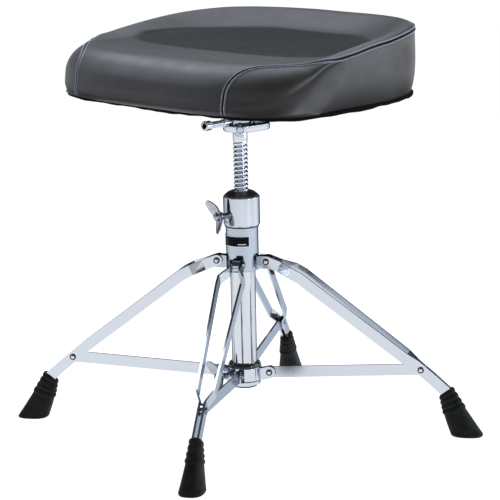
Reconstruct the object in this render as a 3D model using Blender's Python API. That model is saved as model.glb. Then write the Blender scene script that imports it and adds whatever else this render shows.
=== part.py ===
"""Drum throne: a padded seat on a screwed spindle, over a folding base of four double-strap legs.

Run with: blender --background --python part.py
Metres, +Z up. The origin is on the floor under the pole. The seat's front edge faces -Y.
"""

import math

import bmesh
import bpy
import numpy as np
from mathutils import Matrix, Vector

MM = 0.001
GAP = 0.3 * MM  # left between pieces that touch
ROUND = 32  # sides of a turned piece
SMALL_ROUND = 14  # sides of a pin or a screw

# Pole
TUBE_R = 17.5 * MM
TUBE_WALL = 2.0 * MM
TUBE_LOW = 60.0 * MM
TUBE_TOP = 322.0 * MM
HOUSING_R = 22.5 * MM
HOUSING_LOW = 224.5 * MM
HOUSING_TOP = 287.0 * MM
COLLAR_R = 25.15 * MM
COLLAR_TOP = 328.3 * MM
CAP_TOP = 335.5 * MM
NUT_LOW = 288.0 * MM

# Spindle
ROD_R = 10.0 * MM
ROD_CORE_R = 8.3 * MM
PITCH = 6.0 * MM
ROD_LOW = 210.0 * MM
THREAD_TOP = 405.0 * MM
ROD_TOP = 454.0 * MM

# Legs, in the upright plane of each leg: distance from the pole axis, height
LEG_COUNT = 4
LEG_START = math.radians(33.95)
HUB_PIN = (34.8 * MM, 237.7 * MM)
LEG_PIN = (248.5 * MM, 91.0 * MM)
RUNNER_PIN = (35.7 * MM, 79.1 * MM)
STRAP_WIDTH = 15.0 * MM
STRAP_THICK = 3.0 * MM
LUG_THICK = 12.0 * MM
HUB_SIDE = LUG_THICK / 2 + GAP + STRAP_THICK / 2  # sideways place of a strap at the hub
WIDE_SIDE = 17.2 * MM
LOW_SIDE = 11.5 * MM
FOOT_SIDE = 3.55 * MM
STAY_HEIGHT = 15.6 * MM
STAY_THICK = 3.0 * MM
PIN_R = 3.0 * MM
HEAD_R = 4.6 * MM
HEAD_HIGH = 2.0 * MM
EAR_THICK = 2.5 * MM
EAR_SIDE = STAY_THICK / 2 + 0.4 * MM + EAR_THICK / 2
FOOT_TOP = (282.4 * MM, 61.8 * MM)
FOOT_SOLE = (312.5 * MM, 0.0)
FOOT_SLOPE = math.radians(54.0)
POCKET_DEEP = 24.0 * MM

# Runner
BAND_R = 23.5 * MM
BAND_BORE = 20.4 * MM
BAND_LOW = 68.5 * MM
BAND_TOP = 87.2 * MM
BUSH_TOP = 93.4 * MM

# Wing bolts stand midway between two legs
WING_TURN = LEG_START + math.radians(225.0)
WING_SCREW_R = 4.0 * MM
WING_REACH = 25.4 * MM
WING_HALF = 9.0 * MM  # half the width of a wing's ears
WING_ROLL = math.radians(36.0)
UPPER_WING_Z = 303.0 * MM
UPPER_WING_HUB = 36.5 * MM
LOWER_WING_Z = 77.0 * MM
LOWER_WING_HUB = 41.0 * MM

# Seat
SEAT_HALF_WIDTH = 229.0 * MM
SEAT_FRONT = 172.0 * MM
SEAT_REAR = 212.0 * MM
SEAT_WIDEST = -55.0 * MM  # y of the widest line
FRONT_POWER = 3.24  # how square the outline's front half is
REAR_POWER = 2.9
SEAT_LOW = 470.5 * MM
RIM_TOP = 565.0 * MM  # the rim's height along the rear
RIM_DROP = 39.0 * MM  # how much lower the sides are, RIM_RUN ahead of RIM_LEVEL_Y
RIM_LEVEL_Y = 150.0 * MM
RIM_RUN = 280.0 * MM
CREST_Y = -85.0 * MM  # where the seat starts to fall away to its front edge
CREST_STEP = 1.0 * MM
FRONT_DROP = 3.0 * MM
DISH = 532.0 * MM
DISH_EDGE_LIFT = 7.0 * MM
DISH_Y = 72.0 * MM
SIDE_DISH_EDGE = 0.86  # the dish's edge, as a share of the way to the outline
REAR_DISH_EDGE = 0.66
SLOPE_END = 0.955
FRONT_EDGE_Y = -140.0 * MM  # the edge is rolled as at the front ahead of this
SIDE_EDGE_Y = -50.0 * MM
SIDE_ROLL = 15.5 * MM  # how far in the rolled edge starts, and how far it falls
SIDE_FALL = 8.0 * MM
FRONT_ROLL = 40.0 * MM
FRONT_FALL = 40.0 * MM
SIDE_BULGE = 0.8 * MM
REAR_FLARE = 2.4 * MM  # how far the wall's foot stands out
FRONT_FLARE = 8.0 * MM
FOOT_CURL = 5.5 * MM
SCOOP = 8.0 * MM
CREASE_LOW_Y = -66.0 * MM
CREASE_LEAN = 42.0 * MM
BOARD_INSET = 12.0 * MM
BOARD_LOW = 466.3 * MM
BOARD_THICK = 11.7 * MM
FLANGE_HALF = 48.0 * MM
FLANGE_THICK = 4.5 * MM
BRACKET_LOW = 417.6 * MM
BRACKET_LIP = 4.4 * MM
BOSS_R = 19.0 * MM
BRACKET_REAR = 50.0 * MM
BOLT_PLACE = 36.0 * MM
KEY_BOLT_Z = 432.0 * MM


def clear_scene():
    for thing in list(bpy.data.objects):
        bpy.data.objects.remove(thing, do_unlink=True)


def material(name, colour, metallic, roughness):
    made = bpy.data.materials.new(name)
    made.use_nodes = True
    shader = made.node_tree.nodes["Principled BSDF"]
    shader.inputs["Base Color"].default_value = (*colour, 1.0)
    shader.inputs["Metallic"].default_value = metallic
    shader.inputs["Roughness"].default_value = roughness
    return made


def joint_empty(name, place, parent=None):
    """An empty on a joint's axis, which the moving pieces hang from."""
    empty = bpy.data.objects.new(name, None)
    empty.empty_display_size = 0.02
    bpy.context.scene.collection.objects.link(empty)
    empty.parent = parent
    at = Vector(place)
    empty.location = at - (parent.matrix_world.translation if parent else Vector())
    bpy.context.view_layer.update()
    return empty


def finish(name, bm, look, parent=None, hidden=False):
    """Turns world-space geometry into an object whose origin is its parent's."""
    bmesh.ops.remove_doubles(bm, verts=bm.verts, dist=1e-6)
    bmesh.ops.recalc_face_normals(bm, faces=bm.faces)
    origin = parent.matrix_world.translation if parent else Vector()
    bmesh.ops.translate(bm, verts=bm.verts, vec=-origin)
    mesh = bpy.data.meshes.new(name)
    bm.to_mesh(mesh)
    bm.free()
    mesh.shade_smooth()
    mesh.set_sharp_from_angle(angle=math.radians(35.0))
    made = bpy.data.objects.new(name, mesh)
    bpy.context.scene.collection.objects.link(made)
    made.parent = parent
    if look:
        mesh.materials.append(look)
    if hidden:
        made.hide_render = True
        made.display_type = "WIRE"
    return made


def boolean(target, other, operation):
    change = target.modifiers.new(operation.lower(), "BOOLEAN")
    change.operation = operation
    change.solver = "EXACT"
    change.object = other


def turned(profile, sides=ROUND, frame=None):
    """A solid of revolution about +Z from a closed outline of (radius, height) points."""
    bm = bmesh.new()
    rings = []
    for radius, height in profile:
        if radius < 1e-9:
            rings.append([bm.verts.new((0.0, 0.0, height))] * sides)
            continue
        ring = []
        for step in range(sides):
            turn = 2 * math.pi * step / sides
            ring.append(bm.verts.new((radius * math.cos(turn), radius * math.sin(turn), height)))
        rings.append(ring)
    for low, high in zip(rings, rings[1:] + rings[:1]):
        for step in range(sides):
            after = (step + 1) % sides
            corners = dict.fromkeys((low[step], low[after], high[after], high[step]))
            if len(corners) > 2:
                bm.faces.new(tuple(corners))
    if frame:
        bmesh.ops.transform(bm, matrix=frame, verts=bm.verts)
    return bm


def prism(outline, low, high, frame=None):
    """A flat outline of (x, y) points, extruded from one height to another."""
    bm = bmesh.new()
    base = bm.faces.new([bm.verts.new((x, y, low)) for x, y in outline])
    grown = bmesh.ops.extrude_face_region(bm, geom=[base])["geom"]
    moved = [v for v in grown if isinstance(v, bmesh.types.BMVert)]
    bmesh.ops.translate(bm, verts=moved, vec=(0.0, 0.0, high - low))
    if frame:
        bmesh.ops.transform(bm, matrix=frame, verts=bm.verts)
    return bm


def loft(rings):
    """A closed solid through rings of points that all have the same count."""
    bm = bmesh.new()
    rows = [[bm.verts.new(point) for point in ring] for ring in rings]
    for row, upper in zip(rows, rows[1:]):
        for step in range(len(row)):
            after = (step + 1) % len(row)
            bm.faces.new((row[step], row[after], upper[after], upper[step]))
    bm.faces.new(rows[0])
    bm.faces.new(rows[-1])
    return bm


def leg_frame(turn):
    """Local x runs out from the pole, local y is sideways, z is up."""
    return Matrix.Rotation(turn, 4, "Z")


def side_pin_frame(turn, pin, side=0.0):
    """Puts a turned piece's axis sideways through a pin's place in a leg's plane."""
    place = Matrix.Translation((pin[0], side, pin[1]))
    return leg_frame(turn) @ place @ Matrix.Rotation(math.radians(-90.0), 4, "X")


def radial_frame(turn, height):
    """Puts a turned piece's axis along a line out from the pole."""
    lift = Matrix.Translation((0.0, 0.0, height))
    return lift @ Matrix.Rotation(turn, 4, "Z") @ Matrix.Rotation(math.radians(90.0), 4, "Y")


def rod_profile(radius, low, high):
    return [(0.0, low), (radius, low), (radius, high), (0.0, high)]


def drill(name, frame, radius, low, high, sides=SMALL_ROUND):
    return finish(name, turned(rod_profile(radius, low, high), sides, frame), None, hidden=True)


def bar(path, width, thick, frame):
    """A bent flat bar with round ends. path holds (out, height, sideways) points."""
    points = [Vector(point) for point in path]
    half = width / 2
    sections = []

    def heading(a, b):
        flat = Vector((b.x - a.x, b.y - a.y))
        return flat.normalized()

    for index, point in enumerate(points):
        ahead = heading(point, points[index + 1]) if index + 1 < len(points) else None
        back = heading(points[index - 1], point) if index else ahead
        ahead = ahead or back
        across = Vector((-(ahead.y + back.y), ahead.x + back.x)).normalized()
        reach = half / max(0.5, across.dot(Vector((-ahead.y, ahead.x))))
        if index in (0, len(points) - 1):
            inward = ahead if index == 0 else -back
            steps = [math.radians(a) for a in (8, 25, 45, 65, 90)]
            arc = [(half * (1 - math.cos(a)), half * math.sin(a)) for a in steps]
            for along, spread in arc if index == 0 else reversed(arc):
                sections.append((point.xy + inward * (along - half), point.z, across, spread))
        else:
            sections.append((point.xy, point.z, across, reach))
    rings = []
    for at, side, across, spread in sections:
        high, low = at + across * spread, at - across * spread
        near, far = side - thick / 2, side + thick / 2
        corners = ((high, near), (high, far), (low, far), (low, near))
        rings.append([frame @ Vector((spot.x, y, spot.y)) for spot, y in corners])
    return loft(rings)


def superellipse(turn, half_x, half_y, power):
    cos, sin = math.cos(turn), math.sin(turn)
    x = half_x * math.copysign(abs(cos) ** (2 / power), cos)
    y = half_y * math.copysign(abs(sin) ** (2 / power), sin)
    return x, y


def seat_outline(inset=0.0, count=64):
    """The seat's outline: a squarer front, a rounder rear, widest ahead of the pole."""
    dense = []
    for step in range(2001):
        turn = 2 * math.pi * step / 2000
        ahead = 1000 < step < 2000
        depth = SEAT_FRONT + SEAT_WIDEST if ahead else SEAT_REAR - SEAT_WIDEST
        power = FRONT_POWER if ahead else REAR_POWER
        x, y = superellipse(turn, SEAT_HALF_WIDTH - inset, depth - inset, power)
        dense.append((x, y + SEAT_WIDEST))
    dense = np.array(dense)
    runs = np.concatenate([[0.0], np.cumsum(np.hypot(*np.diff(dense, axis=0).T))])
    at = np.arange(count) / count * runs[-1]
    return np.stack([np.interp(at, runs, dense[:, 0]), np.interp(at, runs, dense[:, 1])], axis=1)


def outward_normals(outline):
    tangent = np.roll(outline, -1, axis=0) - np.roll(outline, 1, axis=0)
    normal = np.stack([tangent[:, 1], -tangent[:, 0]], axis=1)
    return normal / np.linalg.norm(normal, axis=1, keepdims=True)


def smooth_step(value, low, high):
    share = np.clip((value - low) / (high - low), 0.0, 1.0)
    return share * share * (3 - 2 * share)


def rim_height(y):
    """The height of the seat's rim: level at the rear, lower along the sides and the front."""
    drop = (np.clip(RIM_LEVEL_Y - y, 0.0, RIM_LEVEL_Y - CREST_Y) / RIM_RUN) ** 1.5
    ahead = np.maximum(0.0, CREST_Y - y) / (CREST_Y + SEAT_FRONT)
    return RIM_TOP - RIM_DROP * drop - FRONT_DROP * ahead**1.5


def seat_top(x, y, outward, edge_y, inset):
    """The height of the seat's upper side.

    outward runs from 0 at the middle to 1 at the outline, edge_y is the y of the outline
    beyond the point, and inset is the distance to it.
    """
    ahead = np.maximum(0.0, DISH_Y - y) / (DISH_Y - CREST_Y)
    edge = SIDE_DISH_EDGE + (REAR_DISH_EDGE - SIDE_DISH_EDGE) * smooth_step(edge_y, 20 * MM, 180 * MM)
    q = ((outward / edge) ** 3 + ahead**3) ** (1 / 3)
    rim = rim_height(y)
    share = np.clip((y - CREST_Y) / (RIM_LEVEL_Y - CREST_Y), 0.0, 1.0)
    foot = np.minimum(rim_height(CREST_Y) - CREST_STEP + DISH_EDGE_LIFT * share, rim)
    dish = DISH + (foot - DISH) * q**2
    step = np.clip((outward - edge) / (SLOPE_END - edge), 0.0, 1.0)
    slope = foot + (rim - foot) * (0.4 * step + 0.6 * step * step * (3 - 2 * step))
    front = 1.0 - smooth_step(edge_y, FRONT_EDGE_Y, SIDE_EDGE_Y)
    reach = SIDE_ROLL + (FRONT_ROLL - SIDE_ROLL) * front
    drop = SIDE_FALL + (FRONT_FALL - SIDE_FALL) * front
    near = np.clip(1.0 - inset / reach, 0.0, 1.0)
    return np.where(q < 1.0, dish, slope) - drop * (1.0 - np.sqrt(1.0 - near**2))


def scoop_depth(x, y, rise):
    """How far the side panel is drawn in ahead of the crease behind each front corner."""
    ahead = CREASE_LOW_Y + CREASE_LEAN * rise - y
    deep = np.minimum(np.clip(ahead / (62 * MM), 0.0, 1.0), 1.0 - smooth_step(ahead, 56 * MM, 112 * MM))
    tall = max(0.0, math.sin(math.pi * rise**0.8)) ** 0.6
    return SCOOP * deep * tall * (np.abs(x) > 100 * MM)


def wall_stand(x, y, rise):
    """How far the wall stands out of the outline at a share of its height."""
    flare = REAR_FLARE + (FRONT_FLARE - REAR_FLARE) * smooth_step(-y, 20 * MM, 130 * MM)
    curl = FOOT_CURL * (1.0 - rise) ** 5
    swell = SIDE_BULGE * math.sin(math.pi * rise**0.9) + 1.0 * MM * rise
    return flare * (1.0 - rise) ** 1.3 + swell - curl - scoop_depth(x, y, rise)


def make_cushion(look, parent):
    outline = seat_outline()
    count = len(outline)
    normal = outward_normals(outline)
    x, y = outline.T
    middle = np.array([0.0, DISH_Y])
    span = np.linalg.norm(outline - middle, axis=1)
    edge_height = seat_top(x, y, np.ones(count), y, np.zeros(count))
    rings = []
    for rise in (0.0, 0.12, 0.3, 0.5, 0.7, 0.87):
        height = SEAT_LOW + (edge_height - SEAT_LOW) * rise
        stand = wall_stand(x, y, rise)[:, None]
        rings.append(np.column_stack([outline + normal * stand, height]))
    for scale in (1.0, 0.995, 0.985, 0.97, 0.945, 0.91, 0.86, 0.8, 0.73, 0.66, 0.56, 0.44, 0.3, 0.12):
        flat = middle + (outline - middle) * scale
        flat = flat + normal * (1.0 * MM * max(0.0, (scale - 0.9) / 0.1))
        height = seat_top(flat[:, 0], flat[:, 1], scale, y, span * (1 - scale))
        rings.append(np.column_stack([flat, height]))
    cushion = finish("seat_cushion", loft([ring.tolist() for ring in rings]), look, parent)
    pocket_low, pocket_high = SEAT_LOW - 10 * MM, BOARD_LOW + BOARD_THICK + GAP
    pocket = prism(seat_outline(BOARD_INSET - GAP).tolist(), pocket_low, pocket_high)
    boolean(cushion, finish("cut_board_pocket", pocket, None, hidden=True), "DIFFERENCE")


def make_board(look, parent):
    board = prism(seat_outline(BOARD_INSET).tolist(), BOARD_LOW, BOARD_LOW + BOARD_THICK)
    board = finish("seat_board", board, look, parent)
    for index, (x, y) in enumerate(bolt_places()):
        hole = drill(f"cut_board_{index}", Matrix.Translation((x, y, 0.0)), PIN_R + GAP, 0.45, 0.50)
        boolean(board, hole, "DIFFERENCE")


def bolt_places():
    return [(x * BOLT_PLACE, y * BOLT_PLACE) for x in (-1, 1) for y in (-1, 1)]


def rounded_box(half_x, low_y, high_y, corner):
    """A rectangle with round corners, as outline points."""
    centres = ((half_x - corner, high_y - corner), (corner - half_x, high_y - corner))
    centres += ((corner - half_x, low_y + corner), (half_x - corner, low_y + corner))
    points = []
    for quarter, (x, y) in enumerate(centres):
        for step in range(7):
            turn = math.radians(90 * quarter + 15 * step)
            points.append((x + corner * math.cos(turn), y + corner * math.sin(turn)))
    return points


def make_bracket(chrome, parent):
    flange_top = BOARD_LOW - GAP
    flange_low = flange_top - FLANGE_THICK
    lip_top = BRACKET_LOW + BRACKET_LIP
    body_low, body_high = lip_top - 0.5 * MM, flange_low + 0.5 * MM
    lip = prism(rounded_box(21 * MM, -22 * MM, BRACKET_REAR, 19 * MM), BRACKET_LOW, lip_top)
    bracket = finish("seat_bracket", lip, chrome, parent)
    boss = finish("add_boss", turned(rod_profile(BOSS_R, body_low, body_high)), None, hidden=True)
    web_outline = rounded_box(12 * MM, 0.0, BRACKET_REAR - 4 * MM, 10 * MM)
    web = finish("add_web", prism(web_outline, body_low, body_high), None, hidden=True)
    plate_outline = rounded_box(FLANGE_HALF, -FLANGE_HALF, FLANGE_HALF, 14 * MM)
    plate = finish("add_flange", prism(plate_outline, flange_low, flange_top), None, hidden=True)
    for piece in (boss, web, plate):
        boolean(bracket, piece, "UNION")
    bore = drill("cut_spindle_bore", None, ROD_R + 0.25 * MM, 0.40, ROD_TOP + 1.0 * MM, ROUND)
    key_hole = drill("cut_key_hole", radial_frame(-math.pi / 2, KEY_BOLT_Z), 4.3 * MM, 5 * MM, 40 * MM)
    screw_frame = radial_frame(math.radians(317.0), BRACKET_LOW + 12.5 * MM)
    screw_hole = drill("cut_screw_hole", screw_frame, 3.3 * MM, 5 * MM, 30 * MM)
    for cutter in (bore, key_hole, screw_hole):
        boolean(bracket, cutter, "DIFFERENCE")
    for index, (x, y) in enumerate(bolt_places()):
        spot = Matrix.Translation((x, y, 0.0))
        hole = drill(f"cut_flange_{index}", spot, PIN_R + GAP, 0.45, 0.50)
        boolean(bracket, hole, "DIFFERENCE")
        head_low, shank_top = flange_low - GAP - 4.0 * MM, BOARD_LOW + 9.0 * MM
        profile = [(0.0, head_low), (5.0 * MM, head_low), (5.5 * MM, head_low + 0.6 * MM)]
        profile += [(5.5 * MM, flange_low - GAP), (PIN_R, flange_low - GAP)]
        profile += [(PIN_R, shank_top), (0.0, shank_top)]
        finish(f"bracket_bolt_{index + 1}", turned(profile, SMALL_ROUND, spot), chrome, parent)
    head = BOSS_R + GAP
    profile = [(0.0, ROD_R + 1.0 * MM), (3.0 * MM, ROD_R + 1.0 * MM), (3.0 * MM, head)]
    profile += [(4.4 * MM, head), (3.8 * MM, head + 1.6 * MM), (0.0, head + 2.0 * MM)]
    finish("bracket_screw", turned(profile, SMALL_ROUND, screw_frame), chrome, parent)


def make_key_bolt(chrome, parent):
    """The bolt that clamps the seat on the spindle, with a hollow barrel head."""
    tip, neck, barrel, end = ROD_R + 0.8 * MM, BOSS_R + 10 * MM, BOSS_R + 22 * MM, BOSS_R + 47 * MM
    profile = [(0.0, tip), (3.9 * MM, tip), (3.9 * MM, neck - 3 * MM), (5.4 * MM, neck - 2 * MM)]
    profile += [(5.4 * MM, neck), (3.9 * MM, neck + 1 * MM), (3.9 * MM, barrel - 1 * MM)]
    profile += [(6.2 * MM, barrel), (6.6 * MM, barrel + 1 * MM), (6.6 * MM, end - 1 * MM)]
    profile += [(6.0 * MM, end), (3.4 * MM, end), (3.4 * MM, end - 10 * MM), (0.0, end - 10 * MM)]
    frame = radial_frame(-math.pi / 2, KEY_BOLT_Z)
    hinge = joint_empty("key_bolt_axis", frame @ Vector((0.0, 0.0, barrel)), parent)
    finish("seat_key_bolt", turned(profile, SMALL_ROUND, frame), chrome, hinge)


def make_spindle(steel, parent):
    """A right-hand screw thread: each row of points climbs one pitch in a turn."""
    sides, rows_per_turn = 14, 4
    shape = (0.0, 1.0, 1.0, 0.0)  # height of the thread along one pitch
    turns = int((THREAD_TOP - ROD_LOW) / PITCH) + 2
    bm = bmesh.new()
    columns = []
    for step in range(sides + 1):
        turn = 2 * math.pi * step / sides
        column = []
        for row in range(-rows_per_turn, turns * rows_per_turn):
            height = ROD_LOW + PITCH * (row / rows_per_turn + step / sides)
            inside = ROD_LOW < height < THREAD_TOP
            radius = ROD_CORE_R + (ROD_R - ROD_CORE_R) * shape[row % rows_per_turn] * inside
            height = min(max(height, ROD_LOW), THREAD_TOP)
            column.append((radius * math.cos(turn), radius * math.sin(turn), height))
        columns.append([bm.verts.new(point) for point in column])
    for left, right in zip(columns, columns[1:]):
        for row in range(len(left) - 1):
            bm.faces.new((left[row], right[row], right[row + 1], left[row + 1]))
    bmesh.ops.remove_doubles(bm, verts=bm.verts, dist=1e-7)
    bmesh.ops.dissolve_degenerate(bm, edges=bm.edges, dist=1e-7)
    ends = bmesh.ops.holes_fill(bm, edges=[e for e in bm.edges if e.is_boundary], sides=0)["faces"]
    top = max(ends, key=lambda face: face.calc_center_median().z)
    for radius, rise in ((ROD_R, 0.0), (ROD_R, ROD_TOP - THREAD_TOP)):
        new = bmesh.ops.extrude_face_region(bm, geom=[top])["geom"]
        bmesh.ops.delete(bm, geom=[top], context="FACES_ONLY")
        verts = [v for v in new if isinstance(v, bmesh.types.BMVert)]
        top = next(f for f in new if isinstance(f, bmesh.types.BMFace))
        for vert in verts:
            vert.co.xy = vert.co.xy.normalized() * radius
            vert.co.z += rise if rise else 0.5 * MM
    for vert in top.verts:
        vert.co.z = ROD_TOP
    finish("threaded_spindle", bm, steel, parent)


def make_pole(chrome, black, brass, rubber):
    inner = TUBE_R - TUBE_WALL
    wing_hole = radial_frame(WING_TURN, UPPER_WING_Z)
    ring = [(TUBE_R, TUBE_LOW), (TUBE_R, TUBE_TOP), (inner, TUBE_TOP), (inner, TUBE_LOW)]
    tube = finish("centre_tube", turned(ring), chrome)
    bore = TUBE_R + GAP
    low, high = HOUSING_TOP + GAP, COLLAR_TOP
    collar = [(COLLAR_R - 1.2 * MM, low), (COLLAR_R, low + 1.2 * MM), (COLLAR_R, high - 1.0 * MM)]
    collar += [(COLLAR_R - 1.0 * MM, high), (bore, high), (bore, low)]
    collar = finish("upper_collar", turned(collar), chrome)
    nut = [(inner - GAP, NUT_LOW), (inner - GAP, TUBE_TOP), (ROD_R + 0.25 * MM, TUBE_TOP)]
    nut = finish("spindle_nut", turned(nut + [(ROD_R + 0.25 * MM, NUT_LOW)]), brass)
    for target, label in ((tube, "tube"), (collar, "collar"), (nut, "nut")):
        hole = drill(f"cut_wing_{label}", wing_hole, WING_SCREW_R + GAP, 5 * MM, 40 * MM)
        boolean(target, hole, "DIFFERENCE")
    pin_frame = radial_frame(WING_TURN, HOUSING_TOP + 6 * MM)
    hole = drill("cut_collar_pin", pin_frame, 2.0 * MM + GAP, 19.5 * MM, 30 * MM)
    boolean(collar, hole, "DIFFERENCE")
    pin = [(0.0, 20 * MM), (2 * MM, 20 * MM), (2 * MM, COLLAR_R + 1 * MM), (0.0, COLLAR_R + 1.6 * MM)]
    finish("collar_screw", turned(pin, SMALL_ROUND, pin_frame), chrome)
    low = COLLAR_TOP + GAP
    dome = [(COLLAR_R - 1.6 * MM, low), (COLLAR_R - 1.8 * MM, low + 1.8 * MM)]
    dome += [(20.5 * MM, low + 5.5 * MM), (16.0 * MM, low + 8.6 * MM), (12.5 * MM, CAP_TOP)]
    dome += [(ROD_R + 0.4 * MM, CAP_TOP), (ROD_R + 0.4 * MM, low)]
    finish("top_cap", turned(dome), black)
    plug_top = TUBE_LOW + 10 * MM
    plug = [(0.0, TUBE_LOW - 2 * MM), (15.5 * MM, TUBE_LOW - 2 * MM), (TUBE_R - 0.3 * MM, TUBE_LOW - 1 * MM)]
    plug += [(TUBE_R - 0.3 * MM, TUBE_LOW - GAP), (inner - GAP, TUBE_LOW - GAP)]
    finish("tube_plug", turned(plug + [(inner - GAP, plug_top), (0.0, plug_top)]), rubber)


def make_housing(chrome, label_look):
    bore = TUBE_R + GAP
    body = [(HOUSING_R - 0.8 * MM, HOUSING_LOW), (HOUSING_R, HOUSING_LOW + 0.8 * MM)]
    body += [(HOUSING_R, HOUSING_TOP - 0.6 * MM), (HOUSING_R - 0.6 * MM, HOUSING_TOP)]
    body += [(bore, HOUSING_TOP), (bore, HOUSING_LOW)]
    housing = finish("leg_housing", turned(body), chrome)
    for index in range(LEG_COUNT):
        turn = LEG_START + index * 2 * math.pi / LEG_COUNT
        lug_end = bar(
            [(18.6 * MM + 10 * MM, 236.0 * MM, 0.0), (HUB_PIN[0], HUB_PIN[1] - 1.5 * MM, 0.0)],
            18 * MM, LUG_THICK, leg_frame(turn),
        )
        boolean(housing, finish(f"add_lug_{index}", lug_end, None, hidden=True), "UNION")
        hole_frame = side_pin_frame(turn, HUB_PIN)
        hole = drill(f"cut_lug_{index}", hole_frame, PIN_R + 0.25 * MM, -9 * MM, 9 * MM)
        boolean(housing, hole, "DIFFERENCE")
    # The lug bars reach into the housing's wall only; this keeps the tube's bore clear.
    bore_cut = drill("cut_housing_bore", None, bore, 0.20, 0.30, ROUND)
    boolean(housing, bore_cut, "DIFFERENCE")
    plate_low, plate_high = HOUSING_TOP - 27 * MM, HOUSING_TOP - 12 * MM
    start, sweep, steps = math.radians(223.0), math.radians(119.0), 16
    outline = []
    for radius, order in ((HOUSING_R + 0.25 * MM, 1), (HOUSING_R + 0.75 * MM, -1)):
        for step in range(steps + 1)[::order]:
            turn = start + sweep * step / steps
            outline.append((radius * math.cos(turn), radius * math.sin(turn)))
    finish("label_plate", prism(outline, plate_low, plate_high), label_look)


def wing_outline():
    """The wing bolt's head seen along the pole: two ears that spread as they lean outward."""
    lean, thick = 11.0 * MM, 4.2 * MM
    return [
        (-WING_REACH, lean + thick * 0.5), (-WING_REACH * 0.94, lean - thick * 0.35),
        (-WING_REACH * 0.5, 1.5 * MM), (-6.0 * MM, -2.5 * MM), (6.0 * MM, -2.5 * MM),
        (WING_REACH * 0.5, 1.5 * MM), (WING_REACH * 0.94, lean - thick * 0.35),
        (WING_REACH, lean + thick * 0.5), (WING_REACH * 0.84, lean + thick * 0.5),
        (WING_REACH * 0.42, 7.0 * MM), (5.0 * MM, 6.0 * MM), (-5.0 * MM, 6.0 * MM),
        (-WING_REACH * 0.42, 7.0 * MM), (-WING_REACH * 0.84, lean + thick * 0.5),
    ]


def make_wing_bolt(name, height, hub, tip, chrome, parent):
    frame = radial_frame(WING_TURN, height)
    hinge = joint_empty(name + "_axis", frame @ Vector((0.0, 0.0, hub)), parent)
    shank = [(0.0, tip), (WING_SCREW_R, tip), (WING_SCREW_R, hub - 5 * MM)]
    shank += [(6.2 * MM, hub - 3 * MM), (6.2 * MM, hub + 4 * MM)]
    shank += [(4.0 * MM, hub + 7.5 * MM), (0.0, hub + 8 * MM)]
    bolt = finish(name, turned(shank, 28, frame), chrome, hinge)
    stand = Matrix.Rotation(WING_ROLL, 4, "Z") @ Matrix.Rotation(math.pi / 2, 4, "X")
    ears_frame = frame @ Matrix.Translation((0.0, 0.0, hub)) @ stand
    ears = prism(wing_outline(), -WING_HALF, WING_HALF, ears_frame)
    boolean(bolt, finish("add_ears_" + name, ears, None, hinge, hidden=True), "UNION")


def rivet(name, turn, pin, side, reach, look, parent):
    """A domed rivet head on one side of a strap, with the stub that fills the strap's hole."""
    way = math.copysign(1.0, side)
    inner, face = abs(side) - reach, abs(side)
    profile = [(0.0, inner), (PIN_R, inner), (PIN_R, face + GAP / 2), (HEAD_R, face + GAP / 2)]
    profile += [(HEAD_R * 0.86, face + HEAD_HIGH * 0.65), (HEAD_R * 0.45, face + HEAD_HIGH)]
    profile += [(0.0, face + HEAD_HIGH * 1.05)]
    frame = side_pin_frame(turn, pin) @ Matrix.Scale(way, 4, (0.0, 0.0, 1.0))
    finish(name, turned(profile, SMALL_ROUND, frame), look, parent)


def through_pin(name, turn, pin, half, look, parent):
    """A pin right through, headed at both ends."""
    dome = [(HEAD_R, half + GAP / 2), (HEAD_R * 0.86, half + HEAD_HIGH * 0.65)]
    dome += [(HEAD_R * 0.45, half + HEAD_HIGH), (0.0, half + HEAD_HIGH * 1.05)]
    lower = [(radius, -height) for radius, height in reversed(dome)]
    profile = lower + [(PIN_R, -half - GAP / 2), (PIN_R, half + GAP / 2)] + dome
    finish(name, turned(profile, SMALL_ROUND, side_pin_frame(turn, pin)), look, parent)


def strap_path(way):
    """(out, height, sideways) points of one strap of a leg."""
    foot_in = POCKET_DEEP - 1.0 * MM
    foot_end = (
        FOOT_TOP[0] + foot_in * math.cos(FOOT_SLOPE),
        FOOT_TOP[1] - foot_in * math.sin(FOOT_SLOPE),
    )
    route = [
        (*HUB_PIN, HUB_SIDE), (53.0 * MM, 230.9 * MM, HUB_SIDE), (70.0 * MM, 224.4 * MM, WIDE_SIDE),
        (83.0 * MM, 217.5 * MM, WIDE_SIDE - 0.2 * MM), (227.0 * MM, 108.5 * MM, LOW_SIDE),
        (241.0 * MM, 97.4 * MM, FOOT_SIDE), (265.0 * MM, 77.3 * MM, FOOT_SIDE),
        (*FOOT_TOP, FOOT_SIDE), (*foot_end, FOOT_SIDE),
    ]
    return [(out, height, way * side) for out, height, side in route]


def make_leg(index, turn, chrome, rubber):
    label = f"leg_{index + 1}"
    frame = leg_frame(turn)
    hinge = joint_empty(label + "_axis", frame @ Vector((HUB_PIN[0], 0.0, HUB_PIN[1])))
    for side_name, way in (("a", 1), ("b", -1)):
        strap = bar(strap_path(way), STRAP_WIDTH, STRAP_THICK, frame)
        strap = finish(f"{label}_strap_{side_name}", strap, chrome, hinge)
        for pin_name, pin in (("hub", HUB_PIN), ("low", LEG_PIN)):
            hole_name = f"cut_{label}_{side_name}_{pin_name}"
            hole_frame = side_pin_frame(turn, pin)
            boolean(strap, drill(hole_name, hole_frame, PIN_R + 0.15 * MM, -30 * MM, 30 * MM), "DIFFERENCE")
        face = way * (FOOT_SIDE + STRAP_THICK / 2)
        rivet(f"{label}_rivet_{side_name}", turn, LEG_PIN, face, STRAP_THICK, chrome, hinge)
    through_pin(f"{label}_hub_pin", turn, HUB_PIN, HUB_SIDE + STRAP_THICK / 2, chrome, hinge)
    make_foot(label, frame, rubber, hinge)


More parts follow.
